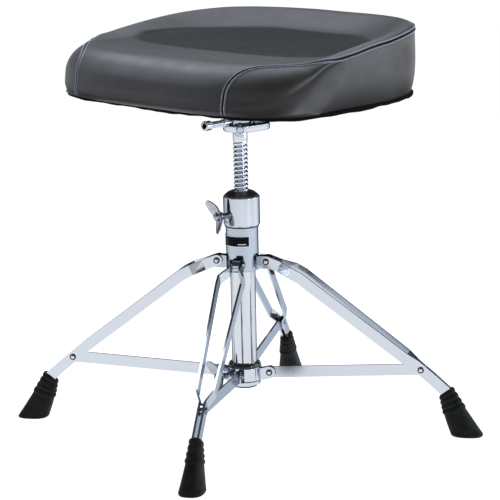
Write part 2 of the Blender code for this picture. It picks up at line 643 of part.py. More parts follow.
def foot_rings():
    """Rings of a foot from its top to its sole: (centre, half length, half width, tilt)."""
    rings = []
    top, sole = Vector(FOOT_TOP), Vector(FOOT_SOLE)
    upright = math.pi / 2 - FOOT_SLOPE
    ridges, ridge_share = 4, 0.46
    steps = []
    for ridge in range(ridges):
        start = ridge_share * ridge / ridges
        width = ridge_share / ridges
        steps += [(start, 0.0), (start + 0.25 * width, 1.5 * MM), (start + 0.7 * width, 1.5 * MM)]
    steps += [(share, 0.0) for share in (ridge_share, 0.72, 0.94, 1.0)]
    for share, bulge in steps:
        centre = top.lerp(sole, share) + Vector((-1.5 * MM, 0.0)) * math.sin(math.pi * share)
        flare = share ** 1.15
        length = (10.6 + (22.3 - 10.6) * flare) * MM + bulge
        width = (7.6 + (17.6 - 7.6) * flare) * MM + bulge
        if share > 0.97:
            length, width = length - 1.5 * MM, width - 1.5 * MM
        rings.append((centre, length, width, upright * (1 - share) ** 1.2))
    return rings


def make_foot(label, frame, rubber, parent):
    count = 20
    rings = []
    for centre, length, width, tilt in foot_rings():
        ring = []
        for step in range(count):
            along, side = superellipse(2 * math.pi * step / count, length, width, 2.6)
            out = centre.x + along * math.cos(tilt)
            height = max(0.0, centre.y + along * math.sin(tilt))
            ring.append(frame @ Vector((out, side, height)))
        rings.append(ring)
    foot = finish(f"{label}_foot", loft(rings), rubber, parent)
    half = STRAP_WIDTH / 2 + GAP
    side = FOOT_SIDE + STRAP_THICK / 2 + GAP
    box = [(-half, -side), (half, -side), (half, side), (-half, side)]
    top = Matrix.Translation((FOOT_TOP[0], 0.0, FOOT_TOP[1]))
    aim = Matrix.Rotation(math.pi / 2 + FOOT_SLOPE, 4, "Y")
    pocket = prism(box, -12 * MM, POCKET_DEEP + 7.5 * MM, frame @ top @ aim)
    boolean(foot, finish(f"cut_{label}_foot", pocket, None, parent, hidden=True), "DIFFERENCE")


def make_runner(chrome, black, parent):
    bore = TUBE_R + GAP
    band = [(BAND_R, BAND_LOW), (BAND_R, BAND_TOP), (BAND_BORE, BAND_TOP), (BAND_BORE, TUBE_LOW + 2 * MM)]
    band += [(BAND_R - 1.6 * MM, TUBE_LOW + 2 * MM), (BAND_R - 1.6 * MM, BAND_LOW)]
    band = finish("runner_band", turned(band), chrome, parent)
    for index in range(LEG_COUNT):
        turn = LEG_START + index * 2 * math.pi / LEG_COUNT
        for way in (-1, 1):
            ear = bar(
                [(BAND_BORE + 8.6 * MM, RUNNER_PIN[1] - 2.6 * MM, way * EAR_SIDE), (*RUNNER_PIN, way * EAR_SIDE)],
                17.0 * MM, EAR_THICK, leg_frame(turn),
            )
            ear = finish(f"add_ear_{index}_{way + 1}", ear, None, parent, hidden=True)
            boolean(band, ear, "UNION")
        hole_frame = side_pin_frame(turn, RUNNER_PIN)
        hole = drill(f"cut_ear_{index}", hole_frame, PIN_R + 0.15 * MM, -15 * MM, 15 * MM)
        hole.parent = parent
        hole.location = -parent.matrix_world.translation
        boolean(band, hole, "DIFFERENCE")
    boss_frame = radial_frame(WING_TURN, LOWER_WING_Z)
    boss_shape = turned(rod_profile(7.5 * MM, BAND_R - 1.5 * MM, BAND_R + 7 * MM), 24, boss_frame)
    boolean(band, finish("add_wing_boss", boss_shape, None, parent, hidden=True), "UNION")
    screw_hole = drill("cut_wing_band", boss_frame, WING_SCREW_R + GAP, 10 * MM, 40 * MM)
    screw_hole.parent = parent
    screw_hole.location = -parent.matrix_world.translation
    boolean(band, screw_hole, "DIFFERENCE")
    bush = [(bore, TUBE_LOW + 3 * MM), (BAND_BORE - GAP, TUBE_LOW + 3 * MM), (BAND_BORE - GAP, BAND_TOP + GAP)]
    bush += [(BAND_R - 0.4 * MM, BAND_TOP + GAP), (BAND_R - 0.2 * MM, BAND_TOP + 3 * MM)]
    bush += [(21.4 * MM, BUSH_TOP), (bore, BUSH_TOP)]
    finish("runner_bushing", turned(bush), black, parent)


def make_stay(index, turn, chrome, parent):
    label = f"stay_{index + 1}"
    frame = leg_frame(turn)
    hinge = joint_empty(label + "_axis", frame @ Vector((RUNNER_PIN[0], 0.0, RUNNER_PIN[1])), parent)
    path = [(*RUNNER_PIN, 0.0), (*LEG_PIN, 0.0)]
    stay = finish(label, bar(path, STAY_HEIGHT, STAY_THICK, frame), chrome, hinge)
    for pin_name, pin in (("runner", RUNNER_PIN), ("leg", LEG_PIN)):
        hole = drill(f"cut_{label}_{pin_name}", side_pin_frame(turn, pin), PIN_R + 0.15 * MM, -5 * MM, 5 * MM)
        boolean(stay, hole, "DIFFERENCE")
    through_pin(f"{label}_pin", turn, RUNNER_PIN, EAR_SIDE + EAR_THICK / 2, chrome, parent)


def main():
    clear_scene()
    chrome = material("chrome", (0.78, 0.79, 0.81), 1.0, 0.12)
    black = material("black_plastic", (0.02, 0.02, 0.022), 0.0, 0.35)
    brass = material("brass", (0.70, 0.55, 0.25), 1.0, 0.3)
    rubber = material("rubber", (0.018, 0.018, 0.02), 0.0, 0.65)
    vinyl = material("vinyl", (0.035, 0.038, 0.042), 0.0, 0.42)
    plywood = material("plywood", (0.02, 0.018, 0.016), 0.0, 0.7)
    label = material("label", (0.012, 0.012, 0.014), 0.0, 0.25)

    make_pole(chrome, black, brass, rubber)
    make_housing(chrome, label)
    make_wing_bolt("height_wing_bolt", UPPER_WING_Z, UPPER_WING_HUB, ROD_R + 1.0 * MM, chrome, None)
    spindle_axis = joint_empty("spindle_axis", (0.0, 0.0, ROD_LOW))
    make_spindle(chrome, spindle_axis)
    seat_axis = joint_empty("seat_axis", (0.0, 0.0, BRACKET_LOW), spindle_axis)
    make_cushion(vinyl, seat_axis)
    make_board(plywood, seat_axis)
    make_bracket(chrome, seat_axis)
    make_key_bolt(chrome, seat_axis)
    runner_axis = joint_empty("runner_axis", (0.0, 0.0, RUNNER_PIN[1]))
    make_runner(chrome, black, runner_axis)
    make_wing_bolt("runner_wing_bolt", LOWER_WING_Z, LOWER_WING_HUB, BAND_BORE + 0.4 * MM, chrome, runner_axis)
    for index in range(LEG_COUNT):
        turn = LEG_START + index * 2 * math.pi / LEG_COUNT
        make_leg(index, turn, chrome, rubber)
        make_stay(index, turn, chrome, runner_axis)


main()
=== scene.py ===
"""The looks of the drum throne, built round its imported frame."""

import math

import bmesh
import bpy
import numpy as np
from mathutils import Matrix, Vector, noise
from mathutils.bvhtree import BVHTree


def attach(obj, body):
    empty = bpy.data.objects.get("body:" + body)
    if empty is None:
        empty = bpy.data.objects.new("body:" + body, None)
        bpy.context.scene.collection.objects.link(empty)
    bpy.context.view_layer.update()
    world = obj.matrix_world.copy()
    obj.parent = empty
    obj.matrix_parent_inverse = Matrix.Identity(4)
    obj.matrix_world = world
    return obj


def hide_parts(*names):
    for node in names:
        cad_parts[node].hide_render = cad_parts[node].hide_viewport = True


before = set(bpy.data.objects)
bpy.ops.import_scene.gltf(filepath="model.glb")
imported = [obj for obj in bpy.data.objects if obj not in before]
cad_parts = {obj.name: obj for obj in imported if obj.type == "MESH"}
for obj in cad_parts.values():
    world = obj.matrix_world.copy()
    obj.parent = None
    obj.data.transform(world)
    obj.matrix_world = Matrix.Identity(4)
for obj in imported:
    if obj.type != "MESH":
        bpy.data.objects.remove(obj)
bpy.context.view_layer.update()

MM = 0.001


def mm(*values):
    return tuple(value * MM for value in values)


LEG_START = math.radians(33.95)
LEG_TURNS = [LEG_START + k * math.pi / 2 for k in range(4)]
WING_TURN, WING_ROLL = LEG_START + math.radians(225.0), math.radians(36.0)

# Heights and radii of the pole, the hub and the runner, from the CAD model. Pins are (out, up).
# Only the thread differs: it is cut 0.3 mm deeper here.
TUBE_R, TUBE_WALL, TUBE_LOW, TUBE_TOP = mm(17.5, 2.0, 60.0, 322.0)
HOUSING_R, HOUSING_LOW, HOUSING_TOP = mm(22.5, 224.5, 287.0)
COLLAR_R, COLLAR_TOP, CAP_TOP = mm(25.15, 328.3, 335.5)
ROD_R, ROD_CORE_R, THREAD_DEEP, PITCH = mm(10.0, 7.9, 2.0, 6.0)
ROD_LOW, THREAD_TOP, ROD_TOP = mm(210.0, 405.0, 454.0)
BAND_R, BAND_BORE, BAND_LOW, BAND_TOP, BUSH_TOP = mm(23.5, 20.4, 68.5, 87.2, 93.4)
HUB_PIN, LEG_PIN, RUNNER_PIN = mm(34.8, 237.7), mm(248.5, 91.0), mm(35.7, 79.1)
FOOT_TOP, FOOT_SOLE, FOOT_SLOPE = mm(282.4, 61.8), mm(312.5, 0.0), math.radians(54.0)
UPPER_WING_Z, UPPER_WING_HUB = mm(303.0, 36.5)
LOWER_WING_Z, LOWER_WING_HUB = mm(77.0, 41.0)
PIN_R, HEAD_R = mm(3.0, 4.6)
# Sideways places of a strap's middle at the hub and at the foot, and of an ear's at the runner.
HUB_SIDE, FOOT_SIDE, EAR_SIDE = mm(7.8, 3.55, 3.15)
BRACKET_LOW, BRACKET_REAR, BOSS_R = mm(417.6, 50.0, 19.0)
FLANGE_HALF, FLANGE_TOP, FLANGE_THICK, BOLT_PLACE = mm(48.0, 466.0, 4.5, 36.0)
BOLT_TOP, KEY_BOLT_Z, BRACKET_SCREW_TURN = 475.0 * MM, 432.0 * MM, math.radians(317.0)
# A foot's half length and half width, each at its neck and at its shoe.
FOOT_HALVES = mm(10.4, 22.3), mm(7.4, 17.6)
# A wing bolt's ear, section by section outward: out, forward, half width, half thickness, in mm.
EAR_SECTIONS = (
    (1.0, 1.6, 6.0, 4.4),
    (4.5, 1.8, 7.6, 3.4),
    (8.5, 2.9, 9.0, 2.4),
    (13.0, 4.6, 9.4, 1.9),
    (17.5, 6.9, 8.4, 1.7),
    (21.5, 9.1, 6.4, 1.6),
    (24.2, 10.6, 4.0, 1.4),
    (25.4, 11.3, 1.6, 0.8),
)
# The bracket's lip, ring by ring upward: inset and height, in mm.
LIP_RINGS = ((3.6, 0.0), (1.4, 0.5), (0.3, 1.8), (0.0, 3.0), (0.0, 8.6), (0.5, 9.3), (1.6, 9.5))

# The seat's outline and heights, from the CAD model, and the crease, which is finer here.
SEAT_HALF_WIDTH, SEAT_FRONT, SEAT_REAR, SEAT_WIDEST = mm(229.0, 172.0, 212.0, -55.0)
FRONT_POWER, REAR_POWER, SEAT_LOW = 3.24, 2.9, 470.5 * MM
RIM_TOP, RIM_DROP, RIM_LEVEL_Y, RIM_RUN = mm(565.0, 39.0, 150.0, 280.0)
CREST_Y, CREST_STEP, FRONT_DROP = mm(-85.0, 1.0, 3.0)
DISH, DISH_EDGE_LIFT, DISH_Y = mm(532.0, 7.0, 72.0)
SIDE_DISH_EDGE, REAR_DISH_EDGE, SLOPE_END = 0.86, 0.66, 0.955
FRONT_EDGE_Y, SIDE_EDGE_Y = mm(-140.0, -50.0)
SIDE_ROLL, SIDE_FALL, FRONT_ROLL, FRONT_FALL = mm(15.5, 8.0, 40.0, 40.0)
SIDE_BULGE, TOP_STAND, REAR_FLARE, FRONT_FLARE, CURL = mm(0.8, 1.0, 2.4, 8.0, 7.0)
SCOOP, CREASE_LOW_Y, CREASE_LEAN = mm(8.0, -66.0, 42.0)
# The seam up one front corner, in mm. The other corner's mirrors it.
SEAM_CORNER = (
    (147, -168, 471),
    (147, -167, 482),
    (146, -165, 497),
    (148, -160, 509),
    (152, -152, 519),
    (158, -143, 526),
    (166, -134, 531),
    (178, -121, 533.5),
    (194, -106, 534),
    (209, -88, 535),
    (221, -70, 536),
    (228, -50, 537),
    (230, -29, 539),
    (230, -2, 543),
    (228, 20, 546.5),
    (225, 45, 549),
)
# Millimetres from one point of the seam to the next, and from one stitch to the next.
SEAM_STEP, STITCH_PITCH = 0.75, 3.0
# The cloth's edge, ring by ring inward: inset and height in mm, and its share of the ripple.
FRINGE_RINGS = (
    (3.2, 1.4, 0.0),
    (1.2, -0.6, 0.5),
    (1.6, -2.8, 0.9),
    (3.8, -4.4, 1.0),
    (8.5, -4.6, 0.7),
    (15.0, -4.3, 0.0),
)

# The bearing of the view, in degrees from the seat's front.
VIEW_BEARING = 47.0


# ---------------------------------------------------------------- materials


class Surface:
    """A procedural material in the making. What it calls a source or a value is a node's output."""

    def __init__(self, name, colour, roughness, metallic=0.0, gloss=0.5):
        self.material = bpy.data.materials.new(name)
        self.material.use_nodes = True
        self.shader = self.material.node_tree.nodes["Principled BSDF"]
        self.set("Base Color", (*colour, 1.0))
        self.set("Roughness", roughness)
        self.set("Metallic", metallic)
        self.set("Specular IOR Level", gloss)

    def set(self, name, value):
        self.shader.inputs[name].default_value = value

    def wire(self, source, socket):
        """Links a node's output to an input, or to the shader's input of that name."""
        if isinstance(socket, str):
            socket = self.shader.inputs[socket]
        self.material.node_tree.links.new(source, socket)

    def node(self, kind, **settings):
        """A node with its settings: a key that names an input sets that, and any other a property."""
        node = self.material.node_tree.nodes.new(kind)
        for key, value in settings.items():
            if key in node.inputs:
                node.inputs[key].default_value = value
            else:
                setattr(node, key, value)
        return node

    def coordinates(self, stretch=(1.0, 1.0, 1.0)):
        coords = self.node("ShaderNodeTexCoord")
        mapping = self.node("ShaderNodeMapping", Scale=stretch)
        self.wire(coords.outputs["Object"], mapping.inputs["Vector"])
        return mapping.outputs["Vector"]

    def noise(self, scale, detail=3.0, stretch=(1.0, 1.0, 1.0)):
        texture = self.node("ShaderNodeTexNoise", Scale=scale, Detail=detail)
        self.wire(self.coordinates(stretch), texture.inputs["Vector"])
        return texture.outputs["Fac"]

    def cells(self, scale, stretch=(1.0, 1.0, 1.0)):
        texture = self.node("ShaderNodeTexVoronoi", Scale=scale, feature="DISTANCE_TO_EDGE")
        self.wire(self.coordinates(stretch), texture.inputs["Vector"])
        return texture.outputs["Distance"]

    def map_range(self, value, span, result, **settings):
        """The value carried from one span of numbers to another."""
        ranged = self.node("ShaderNodeMapRange", **settings)
        for socket, number in zip(("From Min", "From Max", "To Min", "To Max"), (*span, *result)):
            ranged.inputs[socket].default_value = number
        self.wire(value, ranged.inputs["Value"])
        return ranged.outputs["Result"]

    def fade_out(self, value, start, end):
        """1 up to the start, falling smoothly to 0 at the end."""
        return self.map_range(value, (start, end), (1.0, 0.0), interpolation_type="SMOOTHSTEP")

    def math(self, operation, *terms):
        """A math node's result; each term is a float or another node's output."""
        node = self.node("ShaderNodeMath", operation=operation)
        for socket, term in zip(node.inputs, terms):
            if isinstance(term, float):
                socket.default_value = term
            else:
                self.wire(term, socket)
        return node.outputs["Value"]

    def vary_roughness(self, source, low, high):
        self.wire(self.map_range(source, (0.3, 0.7), (low, high)), "Roughness")

    def vary_colour(self, source, dark, light):
        """Base colour from one (position, colour) to another along the source."""
        ramp = self.node("ShaderNodeValToRGB")
        for element, (position, colour) in zip(ramp.color_ramp.elements, (dark, light)):
            element.position = position
            element.color = (*colour, 1.0)
        self.wire(source, ramp.inputs["Fac"])
        self.wire(ramp.outputs["Color"], "Base Color")

    def add_bumps(self, *layers):
        """Bump layers, each (height source, strength, depth in metres)."""
        below = None
        for source, strength, depth in layers:
            bump = self.node("ShaderNodeBump", Strength=strength, Distance=depth)
            self.wire(source, bump.inputs["Height"])
            if below is not None:
                self.wire(below, bump.inputs["Normal"])
            below = bump.outputs["Normal"]
        self.wire(below, "Normal")


def grey(value):
    return (value, value, value)


def make_chrome(name, colour, roughness, smudge, wave, rim=(0.02, 0.03, 0.05), reflection_streaks=None):
    """Plated steel: near-mirror, with faint smudges and the slight waviness of polished tube.

    rim is its tint at a grazing angle. reflection_streaks, where given, are the two ends of its colour
    in soft upright bands: painted reflections, the studio's light and dark mirrored in the chrome.
    """
    chrome = Surface(name, colour, roughness, 1.0)
    chrome.set("Specular Tint", (*rim, 1.0))
    chrome.vary_roughness(chrome.noise(70.0, 4.0), roughness, roughness + smudge)
    chrome.add_bumps((chrome.noise(38.0, 2.0), wave, 0.4 * MM))
    if reflection_streaks:
        chrome.vary_colour(chrome.noise(75.0, 1.0, (1.0, 1.0, 0.04)), *reflection_streaks)
    return chrome.material


def dish_shade_mask(surface):
    """1 inside the seat's dish, 0 on its raised edge: it places the painted shade in the dish."""
    split = surface.node("ShaderNodeSeparateXYZ")
    surface.wire(surface.coordinates(), split.inputs["Vector"])
    across = surface.math("ABSOLUTE", split.outputs["X"])
    across = surface.math("DIVIDE", across, SEAT_HALF_WIDTH * SIDE_DISH_EDGE * 1.08)
    back = surface.math("SUBTRACT", split.outputs["Y"], DISH_Y)
    ahead = surface.math("DIVIDE", back, (CREST_Y - DISH_Y) * 0.84)
    behind = surface.math("DIVIDE", back, (SEAT_REAR - DISH_Y) * REAR_DISH_EDGE * 0.9)
    along = surface.math("MAXIMUM", ahead, behind)
    terms = [surface.math("POWER", term, 3.4) for term in (across, along)]
    inside = surface.fade_out(surface.math("ADD", *terms), 0.86, 1.12)
    low = surface.fade_out(split.outputs["Z"], 539 * MM, 543 * MM)
    return surface.math("MULTIPLY", inside, low)


def make_vinyl():
    """Soft satin vinyl with a fine hide grain, its gloss turned down in the dish: painted shade that darkens
    the dish.
    """
    vinyl = Surface("charcoal_vinyl", (0.030, 0.030, 0.032), 0.42)
    vinyl.vary_colour(vinyl.noise(14.0, 4.0), (0.3, grey(0.013)), (0.7, grey(0.019)))
    vinyl.vary_roughness(vinyl.noise(45.0, 4.0), 0.43, 0.52)
    vinyl.add_bumps((vinyl.cells(820.0), 0.16, 0.25 * MM), (vinyl.noise(1900.0, 2.0), 0.10, 0.15 * MM))
    vinyl.set("IOR", 1.5)
    vinyl.set("Sheen Weight", 0.05)
    # Less gloss inside the dish: painted shade, darker than the raised edge.
    vinyl.wire(vinyl.math("MULTIPLY_ADD", dish_shade_mask(vinyl), -0.47, 0.54), "Specular IOR Level")
    return vinyl.material


def make_rubber():
    rubber = Surface("black_rubber", (0.012, 0.012, 0.012), 0.55, gloss=0.12)
    dark, light = (0.004, 0.005, 0.005), (0.012, 0.013, 0.013)
    rubber.vary_colour(rubber.noise(90.0, 5.0), (0.35, dark), (0.75, light))
    rubber.vary_roughness(rubber.noise(160.0, 3.0), 0.45, 0.65)
    rubber.add_bumps((rubber.noise(600.0, 3.0), 0.2, 0.2 * MM))
    return rubber.material


def make_plastic():
    plastic = Surface("moulded_black_plastic", (0.016, 0.016, 0.018), 0.2, gloss=0.55)
    plastic.vary_roughness(plastic.noise(120.0, 3.0), 0.16, 0.26)
    plastic.add_bumps((plastic.noise(900.0, 2.0), 0.04, 0.1 * MM))
    return plastic.material


def make_brass():
    brass = Surface("turned_brass", (0.78, 0.57, 0.27), 0.3, 1.0)
    brass.vary_roughness(brass.noise(60.0, 4.0, (1, 1, 20)), 0.22, 0.38)
    return brass.material


def make_plywood_painted_shade():
    # Coloured near black all over: painted shade, standing for the shade under the seat. The grain is the
    # wood's own.
    plywood = Surface("near_black_plywood_painted_shade", (0.02, 0.018, 0.016), 0.6)
    grain = plywood.noise(26.0, 6.0, (1.0, 14.0, 30.0))
    plywood.vary_colour(grain, (0.3, (0.014, 0.012, 0.011)), (0.7, (0.032, 0.028, 0.025)))
    plywood.vary_roughness(plywood.noise(80.0, 3.0), 0.5, 0.7)
    plywood.add_bumps((grain, 0.15, 0.2 * MM))
    return plywood.material


def make_cloth():
    """Thin black woven cloth, under the seat's edge."""
    cloth = Surface("black_cloth", (0.008, 0.008, 0.008), 0.85, gloss=0.05)
    cloth.vary_colour(cloth.noise(300.0, 3.0), (0.3, grey(0.002)), (0.7, grey(0.006)))
    cloth.add_bumps((cloth.cells(1400.0, (1.0, 1.0, 2.5)), 0.4, 0.2 * MM))
    return cloth.material


def make_thread():
    thread = Surface("bonded_thread", (0.34, 0.37, 0.46), 0.4)
    dark, light = (0.30, 0.33, 0.42), (0.42, 0.45, 0.54)
    thread.vary_colour(thread.noise(500.0, 2.0), (0.3, dark), (0.7, light))
    thread.add_bumps((thread.noise(2500.0, 2.0, (1, 1, 3)), 0.3, 0.1 * MM))
    return thread.material


def make_dark_steel_and_gap_shade():
    """Blackened steel for the rivets' collars. The dark rings in the gaps at the hub and the runner are
    painted shade: they stand for the shadow lines there.
    """
    steel = Surface("blackened_steel_and_painted_gap_shade", (0.030, 0.032, 0.038), 0.35, 0.6)
    steel.vary_roughness(steel.noise(200.0, 3.0), 0.28, 0.42)
    steel.add_bumps((steel.noise(700.0, 2.0), 0.1, 0.1 * MM))
    return steel.material


def make_cast_metal():
    """The wing bolts are die cast: duller and darker than the turned parts."""
    cast = Surface("die_cast_zinc", (0.30, 0.31, 0.34), 0.3, 1.0)
    dark, light = (0.32, 0.34, 0.38), (0.50, 0.52, 0.57)
    cast.vary_colour(cast.noise(120.0, 4.0), (0.3, dark), (0.7, light))
    cast.vary_roughness(cast.noise(90.0, 4.0), 0.12, 0.26)
    cast.set("Specular Tint", (0.02, 0.03, 0.05, 1.0))
    cast.add_bumps((cast.noise(260.0, 3.0), 0.25, 0.3 * MM))
    return cast.material


def make_seam_vinyl():
    """The seam's turned edges, coloured lighter and bluer than the cover: a painted highlight along the
    seam.
    """
    vinyl = Surface("seam_vinyl_painted_highlight", (0.090, 0.097, 0.118), 0.3)
    vinyl.vary_roughness(vinyl.noise(300.0, 3.0), 0.24, 0.34)
    vinyl.add_bumps((vinyl.cells(820.0), 0.12, 0.2 * MM))
    return vinyl.material


def make_label():
    label = Surface("label_enamel", (0.004, 0.004, 0.005), 0.3, gloss=0.05)
    label.vary_roughness(label.noise(200.0, 3.0), 0.14, 0.24)
    return label.material


BRIGHT = (0.57, 0.61, 0.67)
# The collar's colour in soft upright bands: painted reflections of the studio's light and dark.
PAINTED_REFLECTION_STREAKS = ((0.38, (0.40, 0.435, 0.49)), (0.62, (0.58, 0.62, 0.68)))
CHROME = make_chrome("bright_chrome", BRIGHT, 0.05, 0.05, 0.05)
COLLAR_CHROME = make_chrome("collar_chrome", BRIGHT, 0.06, 0.05, 0.05, reflection_streaks=PAINTED_REFLECTION_STREAKS)
STRAP_CHROME = make_chrome("strap_chrome", (0.56, 0.595, 0.645), 0.1, 0.06, 0.08, (0.42, 0.47, 0.54))
HOUSING_CHROME = make_chrome("housing_chrome", (0.41, 0.465, 0.53), 0.09, 0.05, 0.06)
TUBE_CHROME = make_chrome("tube_chrome", (0.58, 0.605, 0.65), 0.08, 0.05, 0.04)
STEEL = make_chrome("rolled_thread_steel", (0.66, 0.70, 0.78), 0.09, 0.06, 0.06)
VINYL = make_vinyl()
RUBBER = make_rubber()
PLASTIC = make_plastic()
BRASS = make_brass()
PLYWOOD_PAINTED_SHADE = make_plywood_painted_shade()
CLOTH = make_cloth()
THREAD = make_thread()
SEAM_VINYL_PAINTED_HIGHLIGHT = make_seam_vinyl()
LABEL = make_label()
DARK_STEEL_AND_GAP_SHADE = make_dark_steel_and_gap_shade()
CAST = make_cast_metal()


# ---------------------------------------------------------------- mesh tools


def beside(radius, height, *offsets):
    """Profile points at offsets, in millimetres, from a radius and a height."""
    return [(radius + across * MM, height + up * MM) for across, up in offsets]


def new_object(name, data):
    obj = bpy.data.objects.new(name, data)
    bpy.context.scene.collection.objects.link(obj)
    return obj


def new_mesh(name, points, faces):
    mesh = bpy.data.meshes.new(name)
    mesh.from_pydata([tuple(point) for point in points], [], faces)
    return mesh


def turned(profile, sides=96, spot=None, closed=False):
    """(points, faces) of a profile of (radius, height) turned about the Z axis of spot."""
    spot = spot or Matrix.Identity(4)
    points, faces = [], []
    for step in range(sides):
        turn = 2 * math.pi * step / sides
        for radius, height in profile:
            radius = max(radius, 1e-6)
            points.append(spot @ Vector((radius * math.cos(turn), radius * math.sin(turn), height)))
    rows = len(profile)
    spans = rows if closed else rows - 1
    for step in range(sides):
        left, right = step * rows, (step + 1) % sides * rows
        for row in range(spans):
            after = (row + 1) % rows
            faces.append((left + row, right + row, right + after, left + after))
    return points, faces


def prism(outline, low, high, spot=None):
    spot = spot or Matrix.Identity(4)
    count = len(outline)
    points = [spot @ Vector((x, y, low)) for x, y in outline]
    points += [spot @ Vector((x, y, high)) for x, y in outline]
    faces = [tuple(range(count))[::-1], tuple(range(count, 2 * count))]
    for step in range(count):
        after = (step + 1) % count
        faces.append((step, after, count + after, count + step))
    return points, faces


def loft(rings, capped=True):
    count = len(rings[0])
    points = [point for ring in rings for point in ring]
    faces = []
    for row in range(len(rings) - 1):
        for step in range(count):
            after = (step + 1) % count
            low, high = row * count, (row + 1) * count
            faces.append((low + step, low + after, high + after, high + step))
    if capped:
        last = (len(rings) - 1) * count
        faces += [tuple(range(count))[::-1], tuple(range(last, last + count))]
    return points, faces


def join(*parts):
    points, faces = [], []
    for part_points, part_faces in parts:
        start = len(points)
        points += list(part_points)
        faces += [tuple(start + index for index in face) for face in part_faces]
    return points, faces


def piece(name, shape, material, body, nodes=(), bevel=0.0, sharp=35.0):
    """One piece of the looks, which rides on a body and stands for the nodes."""
    mesh = new_mesh(name, *shape)
    bm = bmesh.new()
    bm.from_mesh(mesh)
    bmesh.ops.remove_doubles(bm, verts=bm.verts, dist=1e-6)
    bmesh.ops.dissolve_degenerate(bm, edges=bm.edges, dist=1e-7)
    bmesh.ops.recalc_face_normals(bm, faces=bm.faces)
    bm.to_mesh(mesh)
    bm.free()
    mesh.polygons.foreach_set("use_smooth", [True] * len(mesh.polygons))
    mesh.set_sharp_from_angle(angle=math.radians(sharp))
    mesh.materials.append(material)
    obj = new_object(name, mesh)
    if bevel:
        soften(obj, bevel)
    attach(obj, body)
    if nodes:
        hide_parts(*nodes)
    return obj


def soften(obj, width):
    """A small rounded edge that catches the light."""
    bevel = obj.modifiers.new("edges", "BEVEL")
    bevel.width = width
    bevel.segments = 2
    bevel.limit_method = "ANGLE"
    bevel.angle_limit = math.radians(35.0)
    bevel.harden_normals = True


def repaint(node, material, bevel=0.0):
    """A CAD node keeps its shape, and takes a better material and a small rounded edge."""
    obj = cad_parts[node]
    obj.data.materials.clear()
    obj.data.materials.append(material)
    if bevel:
        soften(obj, bevel)


def leg_frame(turn):
    """X out along the leg, Y sideways, Z up."""
    return Matrix.Rotation(turn, 4, "Z")


def side_pin_frame(turn, pin):
    """Z along the pin, which lies sideways across the leg."""
    lying = Matrix.Rotation(-math.pi / 2, 4, "X")
    return leg_frame(turn) @ Matrix.Translation((pin[0], 0.0, pin[1])) @ lying


def radial_frame(turn, height):
    """Z out from the pole."""
    return Matrix.Translation((0.0, 0.0, height)) @ leg_frame(turn) @ Matrix.Rotation(math.pi / 2, 4, "Y")


def superellipse(turn, half_x, half_y, power):
    cos, sin = math.cos(turn), math.sin(turn)
    x = half_x * math.copysign(abs(cos) ** (2 / power), cos)
    y = half_y * math.copysign(abs(sin) ** (2 / power), sin)
    return x, y


def rounded_box(half_x, low_y, high_y, corner, steps=10):
    centres = ((half_x - corner, high_y - corner), (corner - half_x, high_y - corner))
    centres += ((corner - half_x, low_y + corner), (half_x - corner, low_y + corner))
    points = []
    for quarter, (x, y) in enumerate(centres):
        for step in range(steps + 1):
            turn = math.radians(90 * quarter + 90 * step / steps)
            points.append((x + corner * math.cos(turn), y + corner * math.sin(turn)))
    return points


def stadium(start, end, width, steps=16):
    """The outline of a bar with round ends between two points."""
    start, end = Vector(start), Vector(end)
    heading = math.atan2((end - start).y, (end - start).x)
    points = []
    for centre, first in ((end, heading - math.pi / 2), (start, heading + math.pi / 2)):
        for step in range(steps + 1):
            turn = first + math.pi * step / steps
            points.append(centre + Vector((math.cos(turn), math.sin(turn))) * width / 2)
    return points


def upright_slab(turn, start, end, width, low, high):
    """A flat bar standing along a leg, from sideways place low to high."""
    stand = leg_frame(turn) @ Matrix.Rotation(math.pi / 2, 4, "X")
    return prism(stadium(start, end, width), -high, -low, stand)


# ---------------------------------------------------------------- the pole


def make_pole():
    inner = TUBE_R - TUBE_WALL
    tube = [(inner, TUBE_LOW), *beside(TUBE_R, TUBE_LOW, (-0.4, 0.0), (0.0, 0.4))]
    tube += [*beside(TUBE_R, TUBE_TOP, (0.0, -0.4), (-0.4, 0.0)), (inner, TUBE_TOP)]
    piece("pole_tube", turned(tube, closed=True), TUBE_CHROME, "base", ["centre_tube"])
    plug = beside(0.0, TUBE_LOW, (0.0, -2.0), (14.0, -2.0), (16.2, -1.7))
    plug += beside(TUBE_R, TUBE_LOW, (-0.3, -1.0), (-0.3, -0.3))
    plug += [*beside(inner, TUBE_LOW, (-0.3, -0.3), (-0.3, 10.0)), (0.0, TUBE_LOW + 10 * MM)]
    piece("pole_plug", turned(plug, 64), RUBBER, "base", ["tube_plug"])


def make_collar():
    """The chrome collar. The rings near both ends keep the shading of its long face even."""
    bore = TUBE_R + 0.3 * MM
    low = HOUSING_TOP + 0.3 * MM
    profile = [(bore, low), *beside(COLLAR_R, low, (-1.6, 0.0), (-1.3, 0.5), (-1.2, 1.1), (-0.3, 1.4))]
    profile += beside(COLLAR_R, low, (0.0, 1.9), (0.0, 2.2))
    profile += beside(COLLAR_R, COLLAR_TOP, (0.0, -2.2), (0.0, -1.9))
    edge = 1.4
    for step in range(5):
        turn = math.pi / 2 * step / 4
        offset = (edge * (math.cos(turn) - 1), edge * (math.sin(turn) - 1))
        profile += beside(COLLAR_R, COLLAR_TOP, offset)
    profile.append((bore, COLLAR_TOP))
    piece("hub_collar", turned(profile, closed=True), COLLAR_CHROME, "base", ["upper_collar"])
    # A dark ring in the gap under the collar: painted shade, the shadow line there.
    gap = beside(HOUSING_R, HOUSING_TOP, (0.1, -1.5), (1.0, -1.5), (1.3, -1.1), (1.3, 0.2), (0.1, 0.2))
    piece("hub_gap_painted_shade", turned(gap, closed=True), DARK_STEEL_AND_GAP_SHADE, "base")


